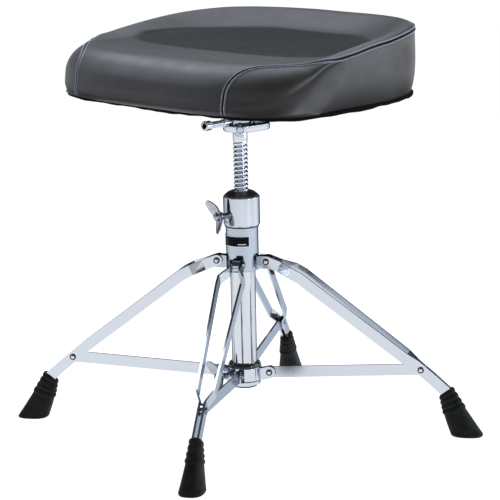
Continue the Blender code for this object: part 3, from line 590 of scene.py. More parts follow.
def make_cap():
    """The domed black cap round the spindle."""
    low = COLLAR_TOP + 0.3 * MM
    shoulder = low + 0.8 * MM
    wide, mouth, bore = COLLAR_R - 1.6 * MM, 12.6 * MM, ROD_R + 0.6 * MM
    dome = [(bore, low), (wide, low), (wide, shoulder)]
    for step in range(13):
        share = step / 12
        height = shoulder + (CAP_TOP - shoulder) * math.sin(share * math.pi / 2) ** 0.9
        dome.append((wide + (mouth - wide) * share, height))
    dome += beside(bore, CAP_TOP, (0.6, -0.2), (0.0, -0.8))
    piece("hub_cap", turned(dome, closed=True), PLASTIC, "base", ["top_cap"])


def make_collar_screw():
    spot = radial_frame(WING_TURN, HOUSING_TOP + 6 * MM)
    head = beside(0.0, 20 * MM, (0.0, 0.0), (2.0, 0.0))
    head += beside(0.0, COLLAR_R, (2.0, 0.8), (1.5, 1.4), (1.0, 1.5), (0.8, 0.9), (0.0, 0.9))
    piece("hub_grub_screw", turned(head, 24, spot), CHROME, "base", ["collar_screw"])


def make_spindle():
    """A right-hand rolled thread with round crests: each row of points climbs one pitch in a turn."""
    sides, rows = 48, 10
    low = ROD_LOW + 30 * MM
    turns = int((THREAD_TOP - low) / PITCH) + 2
    points = []
    for step in range(sides + 1):
        turn = 2 * math.pi * step / sides
        for row in range(-rows, turns * rows):
            height = low + PITCH * (row / rows + step / sides)
            share = (row / rows) % 1.0
            groove = math.exp(-(((share - 0.5) / 0.2) ** 2))
            runout = min(1.0, max(0.0, (THREAD_TOP - height) / (0.6 * PITCH)))
            radius = ROD_R - THREAD_DEEP * groove * runout
            height = min(max(height, low), THREAD_TOP)
            points.append(Vector((radius * math.cos(turn), radius * math.sin(turn), height)))
    count = len(points) // (sides + 1)
    faces = []
    for step in range(sides):
        for row in range(count - 1):
            left, right = step * count + row, (step + 1) * count + row
            faces.append((left, right, right + 1, left + 1))
    rod = [(ROD_R, THREAD_TOP - 0.1 * MM), *beside(ROD_R, ROD_TOP, (0.0, -1.0), (-1.0, 0.0))]
    rod.append((0.0, ROD_TOP))
    core = [(0.0, ROD_LOW), *beside(ROD_CORE_R, ROD_LOW, (-1.0, 0.0), (0.0, 1.0))]
    core.append((ROD_CORE_R, low + 1 * MM))
    shape = join((points, faces), turned(rod, 64), turned(core, 64))
    piece("spindle_thread", shape, STEEL, "spindle", ["threaded_spindle"], sharp=60.0)


def make_wing_bolt(name, height, hub, tip, body, node):
    """A shank with a domed hub and two dished ears that sweep forward."""
    spot = radial_frame(WING_TURN, height)
    shank = beside(0.0, tip, (0.0, 0.0), (3.2, 0.0), (4.0, 0.8))
    shank += beside(0.0, hub, (4.0, -6.5), (4.6, -5.0), (6.2, -3.6), (6.5, -1.0))
    shank += beside(0.0, hub, (6.3, 2.5), (5.2, 5.6), (3.2, 7.4), (0.0, 7.9))
    parts = [turned(shank, 40, spot)]
    stand = Matrix.Rotation(WING_ROLL, 4, "Z") @ Matrix.Rotation(math.pi / 2, 4, "X")
    ears = spot @ Matrix.Translation((0.0, 0.0, hub)) @ stand
    for way in (-1, 1):
        rings = []
        for out, forward, half, thick in EAR_SECTIONS:
            lean = math.atan2(forward, out) * 0.9
            ring = []
            for step in range(20):
                across, deep = superellipse(2 * math.pi * step / 20, half * MM, thick * MM, 2.6)
                deep *= 0.45 + 0.75 * (across / (half * MM)) ** 2
                x = way * (out * MM - deep * math.sin(lean))
                ring.append(ears @ Vector((x, forward * MM + deep * math.cos(lean), across)))
            rings.append(ring[::way])
        parts.append(loft(rings))
    piece(name, join(*parts), CAST, body, [node], sharp=50.0)


# ---------------------------------------------------------------- hub, legs and runner


def rivet_head(face):
    """A rivet's head above its face: a low domed middle inside a dished rim."""
    head = ((1.0, 0.0), (1.0, 0.5), (0.96, 0.75), (0.6, 0.75), (0.56, 1.5), (0.4, 1.85), (0.0, 2.0))
    return [(HEAD_R * share, face + up * MM) for share, up in head]


def rivet_collar(face, spot, side):
    """The dark turned collar round a rivet's middle."""
    ring = ((0.62, 0.8), (0.98, 0.8), (0.92, 1.25), (0.7, 1.3))
    profile = [(HEAD_R * share, side * (face + up * MM)) for share, up in ring]
    return turned(profile, 36, spot, closed=True)


def make_through_pin(name, turn, pin, half, body, node):
    """A pin through both straps, with a rivet's head and a dark collar at each end."""
    spot = side_pin_frame(turn, pin)
    face = half + 0.15 * MM
    top = rivet_head(face)
    low = [(radius, -height) for radius, height in reversed(top)]
    profile = low + [(PIN_R, -half), (PIN_R, half)] + top
    piece(name, turned(profile, 36, spot), CHROME, body, [node])
    collars = [rivet_collar(face, spot, side) for side in (1, -1)]
    piece(name + "_collars", join(*collars), DARK_STEEL_AND_GAP_SHADE, body, sharp=60.0)


def make_hub():
    bore = TUBE_R + 0.3 * MM
    profile = [(bore, HOUSING_LOW), *beside(HOUSING_R, HOUSING_LOW, (-0.8, 0.0), (0.0, 0.8))]
    profile += [*beside(HOUSING_R, HOUSING_TOP, (0.0, -0.7), (-0.7, 0.0)), (bore, HOUSING_TOP)]
    parts = [turned(profile, closed=True)]
    start, end = (26.0 * MM, 236.0 * MM), (HUB_PIN[0], 236.2 * MM)
    for turn in LEG_TURNS:
        parts.append(upright_slab(turn, start, end, 18 * MM, -6 * MM, 6 * MM))
    piece("hub_housing", join(*parts), HOUSING_CHROME, "base", ["leg_housing"], bevel=0.7 * MM)


def arc_band(radius_in, radius_out, start, sweep, low, high, steps=48):
    outline = []
    for radius, order in ((radius_in, 1), (radius_out, -1)):
        for step in range(steps + 1)[::order]:
            turn = start + sweep * step / steps
            outline.append((radius * math.cos(turn), radius * math.sin(turn)))
    return prism(outline, low, high)


def make_label_plate():
    """A plain black plate in a bright frame, with one short bright stripe."""
    low, high = HOUSING_TOP - 27 * MM, HOUSING_TOP - 12 * MM
    start, sweep = math.radians(223.0), math.radians(119.0)
    inner, outer = HOUSING_R + 0.05 * MM, HOUSING_R + 0.7 * MM
    plate = arc_band(inner, outer, start, sweep, low, high)
    piece("maker_label", plate, LABEL, "base", ["label_plate"])
    rim, top = 0.75 * MM, outer + 0.1 * MM
    parts = [arc_band(inner, top, start, sweep, low - 0.2 * MM, low + rim)]
    parts.append(arc_band(inner, top, start, sweep, high - rim, high + 0.2 * MM))
    side = rim / HOUSING_R
    for first in (start - 0.01, start + sweep - side + 0.01):
        parts.append(arc_band(inner, top, first, side, low - 0.2 * MM, high + 0.2 * MM, 3))
    stripe = start + sweep * 0.66
    parts.append(arc_band(inner, top, stripe, sweep * 0.24, low + 3.2 * MM, low + 4.2 * MM, 12))
    piece("maker_label_frame", join(*parts), CHROME, "base", ())


def make_legs():
    for index, turn in enumerate(LEG_TURNS):
        leg, stay = f"leg_{index + 1}", f"stay_{index + 1}"
        for node in (f"{leg}_strap_a", f"{leg}_strap_b", stay):
            repaint(node, STRAP_CHROME, 0.5 * MM)
        make_through_pin(f"{leg}_pivot", turn, HUB_PIN, HUB_SIDE + 1.5 * MM, leg, f"{leg}_hub_pin")
        make_through_pin(f"{stay}_pivot", turn, RUNNER_PIN, EAR_SIDE + 1.25 * MM, "runner", f"{stay}_pin")
        face = FOOT_SIDE + 1.5 * MM
        profile = [(0.0, face - 3.0 * MM), (PIN_R, face - 3.0 * MM), (PIN_R, face)]
        profile += rivet_head(face + 0.15 * MM)
        for side, way in (("a", 1), ("b", -1)):
            spot = side_pin_frame(turn, LEG_PIN) @ Matrix.Scale(way, 4, (0.0, 0.0, 1.0))
            name = f"{leg}_stud_{side}"
            piece(name, turned(profile, 36, spot), CHROME, leg, [f"{leg}_rivet_{side}"])
            piece(name + "_collar", rivet_collar(face + 0.15 * MM, spot, 1), DARK_STEEL_AND_GAP_SHADE, leg, sharp=60.0)
        make_foot(leg, turn)


def make_foot(leg, turn):
    """A rubber foot: a bellows of four ridges above a flared oval shoe with a grooved sole edge."""
    spokes, steps = 72, 76
    ridges, ridge_share = 4, 0.46
    top, sole = Vector(FOOT_TOP), Vector(FOOT_SOLE)
    upright = math.pi / 2 - FOOT_SLOPE
    spot = leg_frame(turn)
    rings = []
    for step in range(steps + 1):
        share = step / steps
        bulge, inward = 0.0, 0.0
        if share < ridge_share:
            bulge = 1.7 * MM * abs(math.sin(math.pi * ridges * share / ridge_share)) ** 0.6
        if share < 0.03:
            inward = 1.2 * MM * (1 - share / 0.03)
        if share > 0.965:
            inward = 1.6 * MM * ((share - 0.965) / 0.035) ** 2
        centre = top.lerp(sole, share) + Vector((-1.5 * MM, 0.0)) * math.sin(math.pi * share)
        flare = share**1.15
        length, width = (neck + (shoe - neck) * flare + bulge - inward for neck, shoe in FOOT_HALVES)
        tilt = upright * (1 - share) ** 1.2
        ring = []
        for spoke in range(spokes):
            grooved = 0.86 < share < 0.945 and spoke % 3 == 0
            notch = 0.9 * MM if grooved else 0.0
            angle = 2 * math.pi * spoke / spokes
            along, side = superellipse(angle, length - notch, width - notch, 2.5)
            height = max(0.0, centre.y + along * math.sin(tilt))
            ring.append(spot @ Vector((centre.x + along * math.cos(tilt), side, height)))
        rings.append(ring)
    piece(f"{leg}_rubber_foot", loft(rings), RUBBER, leg, [f"{leg}_foot"], sharp=50.0)


def make_runner():
    foot = TUBE_LOW + 2 * MM
    band = [(BAND_BORE, foot), *beside(BAND_R, foot, (-2.2, 0.0), (-1.6, 0.6))]
    band += beside(BAND_R, BAND_LOW, (-1.6, 0.0), (-0.5, 0.0), (0.0, 0.5))
    band += [*beside(BAND_R, BAND_TOP, (0.0, -0.6), (-0.6, 0.0)), (BAND_BORE, BAND_TOP)]
    parts = [turned(band, closed=True)]
    start, half = (25.0 * MM, RUNNER_PIN[1] - 2.6 * MM), 1.25 * MM
    for turn in LEG_TURNS:
        for middle in (-EAR_SIDE, EAR_SIDE):
            parts.append(upright_slab(turn, start, RUNNER_PIN, 17.0 * MM, middle - half, middle + half))
    boss = beside(0.0, 0.0, (0.0, 20.0), (7.5, 20.0), (7.5, 29.6), (6.8, 30.5), (0.0, 30.5))
    parts.append(turned(boss, 40, radial_frame(WING_TURN, LOWER_WING_Z)))
    piece("runner_clamp", join(*parts), CHROME, "runner", ["runner_band"], bevel=0.4 * MM)
    # A dark ring at the step in the runner's band: painted shade, the shadow line there.
    gap = beside(BAND_R, BAND_LOW, (-1.8, -1.4), (-0.9, -1.4), (-0.6, -1.0), (-0.6, 0.2), (-1.8, 0.2))
    piece("runner_gap_painted_shade", turned(gap, closed=True), DARK_STEEL_AND_GAP_SHADE, "runner")


def make_runner_bush():
    bore, inner, low = TUBE_R + 0.3 * MM, BAND_BORE - 0.3 * MM, TUBE_LOW + 3 * MM
    bush = [(bore, low), (inner, low), (inner, BAND_TOP + 0.2 * MM)]
    bush += beside(BAND_R, BAND_TOP, (-0.6, 0.2), (-0.1, 0.8), (-0.2, 2.6))
    bush += [*beside(0.0, BUSH_TOP, (22.3, -1.6), (21.2, -0.2), (20.4, 0.0)), (bore, BUSH_TOP)]
    piece("runner_bush", turned(bush, closed=True), PLASTIC, "runner", ["runner_bushing"])


# ---------------------------------------------------------------- under the seat


def make_bracket():
    """The cast bracket: a thick lip below, a plate under the board, and ribs and a neck between."""
    top, plate_low = BRACKET_LOW + 9.4 * MM, FLANGE_TOP - FLANGE_THICK
    rings = []
    for inset, height in LIP_RINGS:
        inset *= MM
        low, high = inset - 21 * MM, BRACKET_REAR - 4 * MM - inset
        outline = rounded_box(23.5 * MM - inset, low, high, 20 * MM - inset)
        rings.append([Vector((x, y, BRACKET_LOW + height * MM)) for x, y in outline])
    parts = [loft(rings)]
    parts.append(prism(rounded_box(FLANGE_HALF, -FLANGE_HALF, FLANGE_HALF, 14 * MM), plate_low, FLANGE_TOP))
    for step in range(9):
        middle = 18 * MM + step * 3.2 * MM
        rib = rounded_box(1.1 * MM, middle - 0.8 * MM, middle + 0.8 * MM, 0.5 * MM, 3)
        for side in (-12.3 * MM, 12.3 * MM):
            parts.append(prism([(x + side, y) for x, y in rib], top, plate_low))
    piece("seat_bracket_casting", join(*parts), CHROME, "seat", ["seat_bracket"], bevel=0.6 * MM)
    bore, outer = ROD_R + 0.3 * MM, BOSS_R - 2 * MM
    neck = [(bore, top), *beside(outer, top, (-2.0, 0.0), (0.0, 5.0)), (outer, plate_low), (bore, plate_low)]
    web = prism(rounded_box(10 * MM, 0.0, BRACKET_REAR - 8 * MM, 8 * MM), top, plate_low)
    shape = join(turned(neck, closed=True), web)
    piece("seat_bracket_neck", shape, HOUSING_CHROME, "seat", bevel=0.6 * MM)


def make_bracket_bolts():
    top = FLANGE_TOP - FLANGE_THICK - 0.3 * MM
    bolt = beside(0.0, top, (0.0, -4.2), (3.9, -4.2), (5.4, -3.4), (5.5, 0.0))
    bolt += [(PIN_R, top), (PIN_R, BOLT_TOP), (0.0, BOLT_TOP)]
    for index, (x, y) in enumerate(((1, 1), (-1, 1), (-1, -1), (1, -1))):
        shape = turned(bolt, 6, Matrix.Translation((x * BOLT_PLACE, y * BOLT_PLACE, 0.0)))
        name, node = f"bracket_hex_bolt_{index + 1}", f"bracket_bolt_{index + 1}"
        piece(name, shape, CHROME, "seat", [node], bevel=0.3 * MM)


def make_bracket_screw():
    """The socket screw in the lip's side, with a dark line round its head."""
    spot = radial_frame(BRACKET_SCREW_TURN, BRACKET_LOW + 5.2 * MM)
    face = 23.3 * MM
    screw = beside(0.0, ROD_R, (0.0, 1.0), (3.0, 1.0))
    screw += beside(0.0, face, (3.0, 0.0), (4.4, 0.0), (4.3, 1.1), (3.6, 1.9), (2.3, 2.1))
    screw += beside(0.0, face, (2.1, 1.0), (0.0, 1.0))
    piece("bracket_socket_screw", turned(screw, 32, spot), CHROME, "seat", ["bracket_screw"])
    ring = beside(0.0, face, (4.6, 0.0), (5.3, 0.0), (5.3, 0.7), (4.6, 0.7))
    piece("bracket_screw_washer", turned(ring, 32, spot, closed=True), DARK_STEEL_AND_GAP_SHADE, "seat")


def make_key_bolt():
    """The seat's clamp bolt: a hex collar, a ridged neck and a socket head."""
    tip, collar, neck = ROD_R + 0.8 * MM, BOSS_R + 6 * MM, BOSS_R + 18 * MM
    barrel, end = BOSS_R + 36 * MM, BOSS_R + 47 * MM
    profile = beside(0.0, tip, (0.0, 0.0), (3.9, 0.0))
    profile += beside(0.0, collar, (3.9, -1.0), (5.4, -0.4), (5.8, 0.0))
    profile += beside(0.0, neck, (5.8, -5.0), (5.2, -4.4), (3.9, -4.0))
    for ridge in range(8):
        start = neck + (2.4 * ridge - 3.0) * MM
        profile += beside(0.0, start, (3.3, 0.0), (4.7, 0.9), (4.7, 1.1), (3.3, 2.0))
    profile += beside(0.0, barrel, (3.9, -0.6), (5.9, 0.0), (6.6, 0.9))
    profile += beside(0.0, end, (6.6, -2.4), (6.9, -1.6), (6.7, -0.4), (6.0, 0.0), (4.5, 0.0))
    profile += beside(0.0, end, (4.0, -0.6), (3.8, -9.0), (0.0, -9.0))
    socket = beside(0.0, end, (0.0, -8.8), (3.6, -8.8), (3.7, -1.6), (3.3, -1.6), (3.2, -8.2), (0.0, -8.2))
    spot = radial_frame(-math.pi / 2, KEY_BOLT_Z)
    piece("clamp_bolt", turned(profile, 48, spot), CHROME, "key_bolt", ["seat_key_bolt"])
    piece("clamp_bolt_socket", turned(socket, 48, spot), DARK_STEEL_AND_GAP_SHADE, "key_bolt")


# ---------------------------------------------------------------- the seat


def seat_outline(count, inset=0.0):
    """Points evenly spaced along the seat's outline, as an array, from +X on through +Y."""
    turn = np.arange(4000) / 4000 * 2 * math.pi
    ahead = np.sin(turn) < 0
    depth = np.where(ahead, SEAT_FRONT + SEAT_WIDEST, SEAT_REAR - SEAT_WIDEST) - inset
    power = 2 / np.where(ahead, FRONT_POWER, REAR_POWER)
    x = np.sign(np.cos(turn)) * np.abs(np.cos(turn)) ** power * (SEAT_HALF_WIDTH - inset)
    y = np.sign(np.sin(turn)) * np.abs(np.sin(turn)) ** power * depth + SEAT_WIDEST
    dense = np.stack([np.append(x, x[0]), np.append(y, y[0])], axis=1)
    runs = np.concatenate([[0.0], np.cumsum(np.hypot(*np.diff(dense, axis=0).T))])
    at = np.arange(count) / count * runs[-1]
    return np.stack([np.interp(at, runs, dense[:, 0]), np.interp(at, runs, dense[:, 1])], axis=1)


def outward_normals(outline):
    tangent = np.roll(outline, -1, axis=0) - np.roll(outline, 1, axis=0)
    normal = np.stack([tangent[:, 1], -tangent[:, 0]], axis=1)
    return normal / np.linalg.norm(normal, axis=1, keepdims=True)


def smooth_step(value, low, high):
    share = np.clip((value - low) / (high - low), 0.0, 1.0)
    return share * share * (3 - 2 * share)


def rim_height(y):
    """The height of the seat's rim: level at the rear, lower along the sides and the front."""
    drop = (np.clip(RIM_LEVEL_Y - y, 0.0, RIM_LEVEL_Y - CREST_Y) / RIM_RUN) ** 1.5
    ahead = np.maximum(0.0, CREST_Y - y) / (CREST_Y + SEAT_FRONT)
    return RIM_TOP - RIM_DROP * drop - FRONT_DROP * ahead**1.5


def front_share(y):
    """1 at the front edge, 0 along the sides and the rear."""
    return 1.0 - smooth_step(y, FRONT_EDGE_Y, SIDE_EDGE_Y)


def seat_top(x, y, outward, edge_y, inset):
    """The height of the seat's upper side.

    outward runs from 0 at the middle to 1 at the outline, edge_y is the y of the outline
    beyond the point, and inset is the distance to it.
    """
    ahead = np.maximum(0.0, DISH_Y - y) / (DISH_Y - CREST_Y)
    edge = SIDE_DISH_EDGE + (REAR_DISH_EDGE - SIDE_DISH_EDGE) * smooth_step(edge_y, 20 * MM, 180 * MM)
    q = ((outward / edge) ** 3 + ahead**3) ** (1 / 3)
    rim = rim_height(y)
    share = np.clip((y - CREST_Y) / (RIM_LEVEL_Y - CREST_Y), 0.0, 1.0)
    foot = np.minimum(rim_height(CREST_Y) - CREST_STEP + DISH_EDGE_LIFT * share, rim)
    dish = DISH + (foot - DISH) * q**2
    step = np.clip((outward - edge) / (SLOPE_END - edge), 0.0, 1.0)
    slope = foot + (rim - foot) * (0.9 * step + 0.1 * step * step * (3 - 2 * step))
    front = front_share(edge_y)
    reach = SIDE_ROLL + (FRONT_ROLL - SIDE_ROLL) * front
    drop = SIDE_FALL + (FRONT_FALL - SIDE_FALL) * front
    near = np.clip(1.0 - inset / reach, 0.0, 1.0)
    return np.where(q < 1.0, dish, slope) - drop * (1.0 - np.sqrt(1.0 - near**2))


def scoop_depth(x, y, rise):
    """How far the side panel is drawn in ahead of the crease behind each front corner."""
    ahead = CREASE_LOW_Y + CREASE_LEAN * rise - y
    deep = 1.0 - (1.0 - np.clip(ahead / (46 * MM), 0.0, 1.0)) ** 2
    deep = deep * (1.0 - smooth_step(ahead, 46 * MM, 125 * MM))
    tall = np.clip(math.sin(math.pi * min(rise, 1.0) ** 0.8), 0.0, 1.0) ** 0.6
    return SCOOP * deep * tall * (np.abs(x) > 100 * MM)


def wall_stand(x, y, rise):
    """How far the wall stands out of the outline at a share of its height."""
    flare = REAR_FLARE + (FRONT_FLARE - REAR_FLARE) * smooth_step(-y, 20 * MM, 130 * MM)
    curl = CURL * (1.0 - rise) ** 4
    swell = SIDE_BULGE * math.sin(math.pi * rise**0.9) + TOP_STAND * rise
    return flare * (1.0 - rise) ** 1.3 + swell - curl - scoop_depth(x, y, rise)


def seat_grid(count, wall_rows, top_scales):
    """Rings of points from the seat's lower edge up its wall and over the top to the middle."""
    outline = seat_outline(count)
    normal = outward_normals(outline)
    x, y = outline.T
    middle = np.array([0.0, DISH_Y])
    span = np.linalg.norm(outline - middle, axis=1)
    edge_height = seat_top(x, y, np.ones(count), y, np.zeros(count))
    rings = []
    for row in range(wall_rows):
        rise = row / wall_rows
        height = SEAT_LOW + (edge_height - SEAT_LOW) * rise
        rings.append(np.column_stack([outline + normal * wall_stand(x, y, rise)[:, None], height]))
    for scale in top_scales:
        flat = middle + (outline - middle) * scale
        flat = flat + normal * (TOP_STAND * max(0.0, (scale - 0.9) / 0.1))
        height = seat_top(flat[:, 0], flat[:, 1], scale, y, span * (1 - scale))
        rings.append(np.column_stack([flat, height]))
    return np.array(rings)


def add_unevenness(grid, wall_rows, normal):
    """The slight unevenness of foam under a stretched cover."""
    for row, ring in enumerate(grid):
        for index, point in enumerate(ring):
            spot = Vector(point)
            sway = (0.28 * noise.noise(spot * 20) + 0.07 * noise.noise(spot * 58)) * MM
            if row < wall_rows:
                ring[index, :2] += normal[index] * sway
            else:
                ring[index, 2] += sway


def make_cushion():
    """The padded cover, closed below by a rim that turns in under the board's edge."""
    count, wall_rows = 440, 26
    # Rows over the top, as shares of the outline: closest at the rolled edge, widest at the middle.
    scales = [1.0 - 0.0035 * k for k in range(18)]
    scales += [0.9405 - 0.0075 * k for k in range(1, 22)]
    scales += [0.783 * (1 - k / 18) for k in range(1, 18)]
    grid = seat_grid(count, wall_rows, scales)
    outline = seat_outline(count)
    normal = outward_normals(outline)
    add_unevenness(grid, wall_rows, normal)
    under = np.column_stack([outline - normal * 14 * MM, np.full(count, SEAT_LOW - 1.6 * MM)])
    rings = [[Vector(point) for point in ring] for ring in [under, *grid]]
    points, faces = loft(rings, capped=False)
    last = len(points) - count
    points.append(Vector((0.0, DISH_Y, DISH)))
    faces += [(last + step, last + (step + 1) % count, len(points) - 1) for step in range(count)]
    cushion = piece("seat_cover", (points, faces), VINYL, "seat", ["seat_cushion"], sharp=80.0)
    return cushion, grid[wall_rows]


def even_path(points, spacing):
    """A polyline's points, spaced evenly."""
    points = np.array(points)
    runs = np.concatenate([[0.0], np.cumsum(np.linalg.norm(np.diff(points, axis=0), axis=1))])
    at = np.linspace(0.0, runs[-1], int(runs[-1] / spacing) + 1)
    return np.stack([np.interp(at, runs, points[:, axis]) for axis in range(3)], axis=1)


def seam_path(edge_ring):
    """The seam from one front corner's lower edge, up it and round the rear to the other."""
    corner = np.array(SEAM_CORNER) * MM
    rear = edge_ring[edge_ring[:, 1] > corner[-1][1] + 12 * MM]
    left = corner[::-1] * (-1.0, 1.0, 1.0)
    path = even_path(np.concatenate([corner, rear, left]), 1.0 * MM)
    # Smoothing joins the corners to the rear in one even line.
    for _ in range(80):
        path[1:-1] = (path[:-2] + 2 * path[1:-1] + path[2:]) / 4
    return even_path(path, SEAM_STEP * MM)


class SeamFrames:
    """Places beside the seam, on the cover's surface."""

    def __init__(self, cover, path):
        mesh = cover.data
        corners = [vertex.co.copy() for vertex in mesh.vertices]
        self.tree = BVHTree.FromPolygons(corners, [face.vertices[:] for face in mesh.polygons])
        self.path = [Vector(point) for point in path]
        self.frames = []
        for index, point in enumerate(self.path):
            before = self.path[max(0, index - 2)]
            after = self.path[min(len(self.path) - 1, index + 2)]
            spot, normal = self.tree.find_nearest(point)[:2]
            along = (after - before).normalized()
            self.frames.append((spot, along, normal.cross(along).normalized()))

    def at(self, index, across, above):
        """The point beside the seam's point at index, above the surface there, and the directions."""
        spot, along, side = self.frames[index]
        beneath, normal = self.tree.find_nearest(spot + side * across)[:2]
        return beneath + normal * above, along, normal


def oval(centre, side, normal, wide, high):
    """Six points round a centre."""
    turns = [math.pi / 3 * step for step in range(6)]
    return [centre + (side * wide * math.cos(turn) + normal * high * math.sin(turn)) * MM for turn in turns]


def make_seam(frames):
    """The two turned edges that meet along the seam, puckered by the stitches."""
    half = [(1.1, 0.2), (1.4, 0.8), (2.1, 1.15), (2.9, 1.05), (3.6, 0.45), (4.3, -0.2)]
    profile = [(-across, above) for across, above in reversed(half)] + [(0.0, 0.04)] + half
    count, wide = len(frames.path), len(profile)
    points, faces = [], []
    for index in range(count):
        wave = 1.0 + 0.22 * math.cos(2 * math.pi * index * SEAM_STEP / STITCH_PITCH)
        pucker = 0.3 * noise.noise(Vector((index * 0.16, 0.0, 4.0)))
        for across, above in profile:
            lift = above * wave + (pucker if abs(across) in (2.1, 2.9) else 0.0)
            points.append(frames.at(index, across * MM, lift * MM)[0])
    for index in range(count - 1):
        for step in range(wide - 1):
            start = index * wide + step
            faces.append((start, start + 1, start + wide + 1, start + wide))
    # The seam's edges take the lighter vinyl: a painted highlight.
    piece("seat_seam", (points, faces), SEAM_VINYL_PAINTED_HIGHLIGHT, "seat", sharp=180.0)


def make_seam_gap(frames):
    """The dark line between the seam's two edges."""
    rings = []
    for index in range(0, len(frames.path), 2):
        centre, along, normal = frames.at(index, 0.0, 0.1 * MM)
        rings.append(oval(centre, normal.cross(along), normal, 1.25, 0.7))
    piece("seat_seam_gap", loft(rings), CLOTH, "seat")


def make_stitches(frames):
    """Two rows of stitches, each a small bowed bead of thread."""
    bead = ((-1.1, 0.15), (-0.8, 0.44), (0.0, 0.55), (0.8, 0.44), (1.1, 0.15))
    step = round(STITCH_PITCH / SEAM_STEP)
    stitches = []
    for index in range(step, len(frames.path) - step, step):
        for across in (-2.5, 2.5):
            centre, along, normal = frames.at(index, across * MM, 1.1 * MM)
            side = normal.cross(along)
            rings = []
            for place_along, radius in bead:
                middle = centre + (along * place_along - normal * 0.3 * place_along**2) * MM
                rings.append(oval(middle, side, normal, radius, radius))
            stitches.append(loft(rings))
    piece("seat_stitching", join(*stitches), THREAD, "seat", sharp=180.0)


def make_fringe():
    """The raw edge of the black cloth that is stapled under the seat."""
    outline = seat_outline(520)
    normal = outward_normals(outline)
    wave = np.array([noise.noise(Vector((x * 42, y * 42, 1.5))) for x, y in outline])
    tuck = np.array([noise.noise(Vector((x * 16, y * 16, 7.5))) for x, y in outline])
    rings = []
    for inset, height, share in FRINGE_RINGS:
        depth = (inset + 1.2 * share * tuck) * MM
        level = SEAT_LOW + (height + 1.5 * share * wave + 0.8 * share * tuck) * MM
        edge = outline - normal * depth[:, None]
        rings.append([Vector((*spot, up)) for spot, up in zip(edge, level)])
    fringe = piece("under_cloth_edge", loft(rings, capped=False), CLOTH, "seat", sharp=180.0)


# ---------------------------------------------------------------- stage


def make_stage():
    """A plain pale floor that curves up into a low wall, far round the object."""
    profile = [(0.0, 0.0), (3.0, 0.0), (6.0, 0.0), (6.4, 0.05), (6.65, 0.2), (6.75, 0.45), (6.75, 1.3)]
    mesh = new_mesh("studio_floor", *turned(profile, 96))
    floor = Surface("white_floor", (0.30, 0.30, 0.30), 0.9, gloss=0.0)
    floor.set("Emission Color", (1.0, 1.0, 1.0, 1.0))
    floor.set("Emission Strength", 0.95)
    mesh.materials.append(floor.material)
    new_object("studio_floor", mesh)


def make_camera():
    data = bpy.data.cameras.new("camera")
    data.sensor_width = 36.0
    data.lens = 167.15
    data.clip_end = 200.0
    camera = new_object("camera", data)
    back, height = 3.1386, 0.9105
    yaw, pitch, roll = 0.00334, 0.20705, -0.01964
    level = math.cos(pitch)
    forward = Vector((math.sin(yaw) * level, math.cos(yaw) * level, -math.sin(pitch)))
    right = Vector((math.cos(yaw), -math.sin(yaw), 0.0))
    up = right.cross(forward)
    rolled_right = right * math.cos(roll) + up * math.sin(roll)
    rolled_up = up * math.cos(roll) - right * math.sin(roll)
    turn = Matrix((rolled_right, rolled_up, -forward)).transposed().to_4x4()
    bearing = Matrix.Rotation(math.radians(VIEW_BEARING), 4, "Z")
    camera.matrix_world = bearing @ Matrix.Translation((0.0, -back, height)) @ turn
    bpy.context.scene.camera = camera


def toward(bearing):
    """The level direction at a bearing, in degrees from the seat's front."""
    turn = math.radians(bearing - 90.0)
    return Vector((math.cos(turn), math.sin(turn), 0.0))


def softbox(name, bearing, distance, height, size, power, aim_height, colour):
    """A rectangular light at a bearing, aimed at a height on the pole."""
    data = bpy.data.lights.new(name, "AREA")
    data.shape = "RECTANGLE"
    data.size, data.size_y = size
    data.energy = power
    data.color = colour
    light = new_object(name, data)
    spot = toward(bearing) * distance + Vector((0.0, 0.0, height))
    aim = Vector((0.0, 0.0, aim_height)) - spot
    light.matrix_world = Matrix.Translation(spot) @ aim.to_track_quat("-Z", "Y").to_matrix().to_4x4()
    light.visible_camera = False


def mirror_only(name, points, faces):
    """A dark piece of the studio that only reflections see."""
    mesh = new_mesh(name, points, faces)
    obj = new_object(name, mesh)
    mesh.materials.append(Surface(name, (0.05, 0.05, 0.055), 0.9, gloss=0.0).material)
    for kind in ("camera", "diffuse", "shadow", "transmission", "volume_scatter"):
        setattr(obj, f"visible_{kind}", False)


def flag(name, bearing, distance, width, height):
    """A dark upright strip, for the dark lines in the chrome."""
    foot = toward(bearing) * distance
    across = toward(bearing + 90.0) * width / 2
    up = Vector((0.0, 0.0, height))
    corners = [foot - across, foot + across, foot + across + up, foot - across + up]
    mirror_only(name, corners, [(0, 1, 2, 3)])


def curved_card(name, first, last, edge, other_edge, steps=48):
    """A dark strip bent round the pole between two bearings; each edge is a (radius, height)."""
    points = []
    for step in range(steps + 1):
        out = toward(first + (last - first) * step / steps)
        points += [out * radius + Vector((0.0, 0.0, height)) for radius, height in (edge, other_edge)]
    faces = [(2 * k, 2 * k + 1, 2 * k + 3, 2 * k + 2) for k in range(steps)]
    mirror_only(name, points, faces)


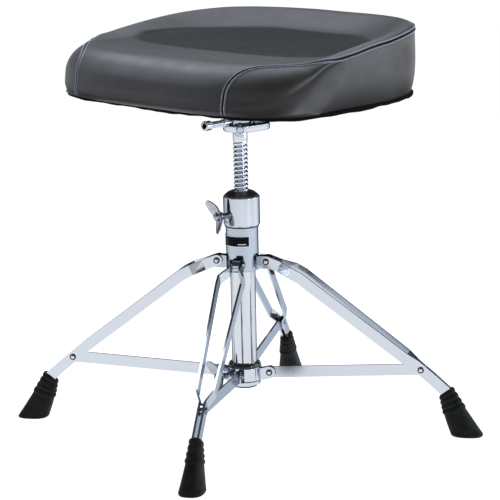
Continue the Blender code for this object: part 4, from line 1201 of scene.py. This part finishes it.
def make_lights():
    world = bpy.data.worlds.new("studio")
    bpy.context.scene.world = world
    world.use_nodes = True
    background = world.node_tree.nodes["Background"]
    background.inputs["Color"].default_value = (0.85, 0.85, 0.86, 1.0)
    background.inputs["Strength"].default_value = 0.10
    cool = (0.78, 0.85, 1.0)
    softbox("overhead", VIEW_BEARING + 180.0, 0.42, 1.75, (2.0, 1.6), 27.5, 0.54, (0.84, 0.90, 1.0))
    softbox("left_box", VIEW_BEARING - 103.0, 1.8, 1.78, (1.2, 1.3), 14.0, 0.5, cool)
    softbox("right_box", VIEW_BEARING + 90.0, 1.9, 0.8, (1.2, 1.1), 15.0, 0.5, cool)
    # Dark strips for the chrome: two beside the pole's tube, and one behind the hub.
    flag("left_flag", VIEW_BEARING - 21.0, 0.36, 0.05, 0.12)
    flag("right_flag", VIEW_BEARING + 66.0, 0.36, 0.06, 0.12)
    curved_card("rear_flag", 187.0, 267.0, (0.30, 0.15), (0.30, 0.40), 24)
    # Dark level cards keep the floor's glare off the seat's lower edge and its front.
    curved_card("under_card", 0.0, 360.0, (0.25, 0.40), (0.50, 0.40))
    curved_card("front_card", -110.0, 0.0, (0.62, 0.405), (1.30, 0.405))
    softbox("crest_box", -90.0, 1.5, 1.95, (0.9, 0.6), 7.0, 0.53, (0.80, 0.88, 1.0))
    softbox("corner_box", 97.0, 1.8, 0.66, (0.36, 0.30), 7.0, 0.51, (0.90, 0.94, 1.0))
    bpy.context.scene.view_settings.view_transform = "Standard"


make_camera()
make_stage()
make_lights()
make_pole()
make_collar()
make_cap()
make_collar_screw()
make_spindle()
upper_tip, lower_tip = ROD_R + 1.0 * MM, TUBE_R + 0.5 * MM
make_wing_bolt("height_wing", UPPER_WING_Z, UPPER_WING_HUB, upper_tip, "height_bolt", "height_wing_bolt")
make_wing_bolt("runner_wing", LOWER_WING_Z, LOWER_WING_HUB, lower_tip, "runner_bolt", "runner_wing_bolt")
make_hub()
make_label_plate()
make_legs()
make_runner()
make_runner_bush()
make_bracket()
make_bracket_bolts()
make_bracket_screw()
make_key_bolt()
cover, edge_ring = make_cushion()
seam = SeamFrames(cover, seam_path(edge_ring))
make_seam(seam)
make_seam_gap(seam)
make_stitches(seam)
make_fringe()
repaint("spindle_nut", BRASS)
# The board is coloured near black: painted shade under the seat.
repaint("seat_board", PLYWOOD_PAINTED_SHADE, 0.6 * MM)
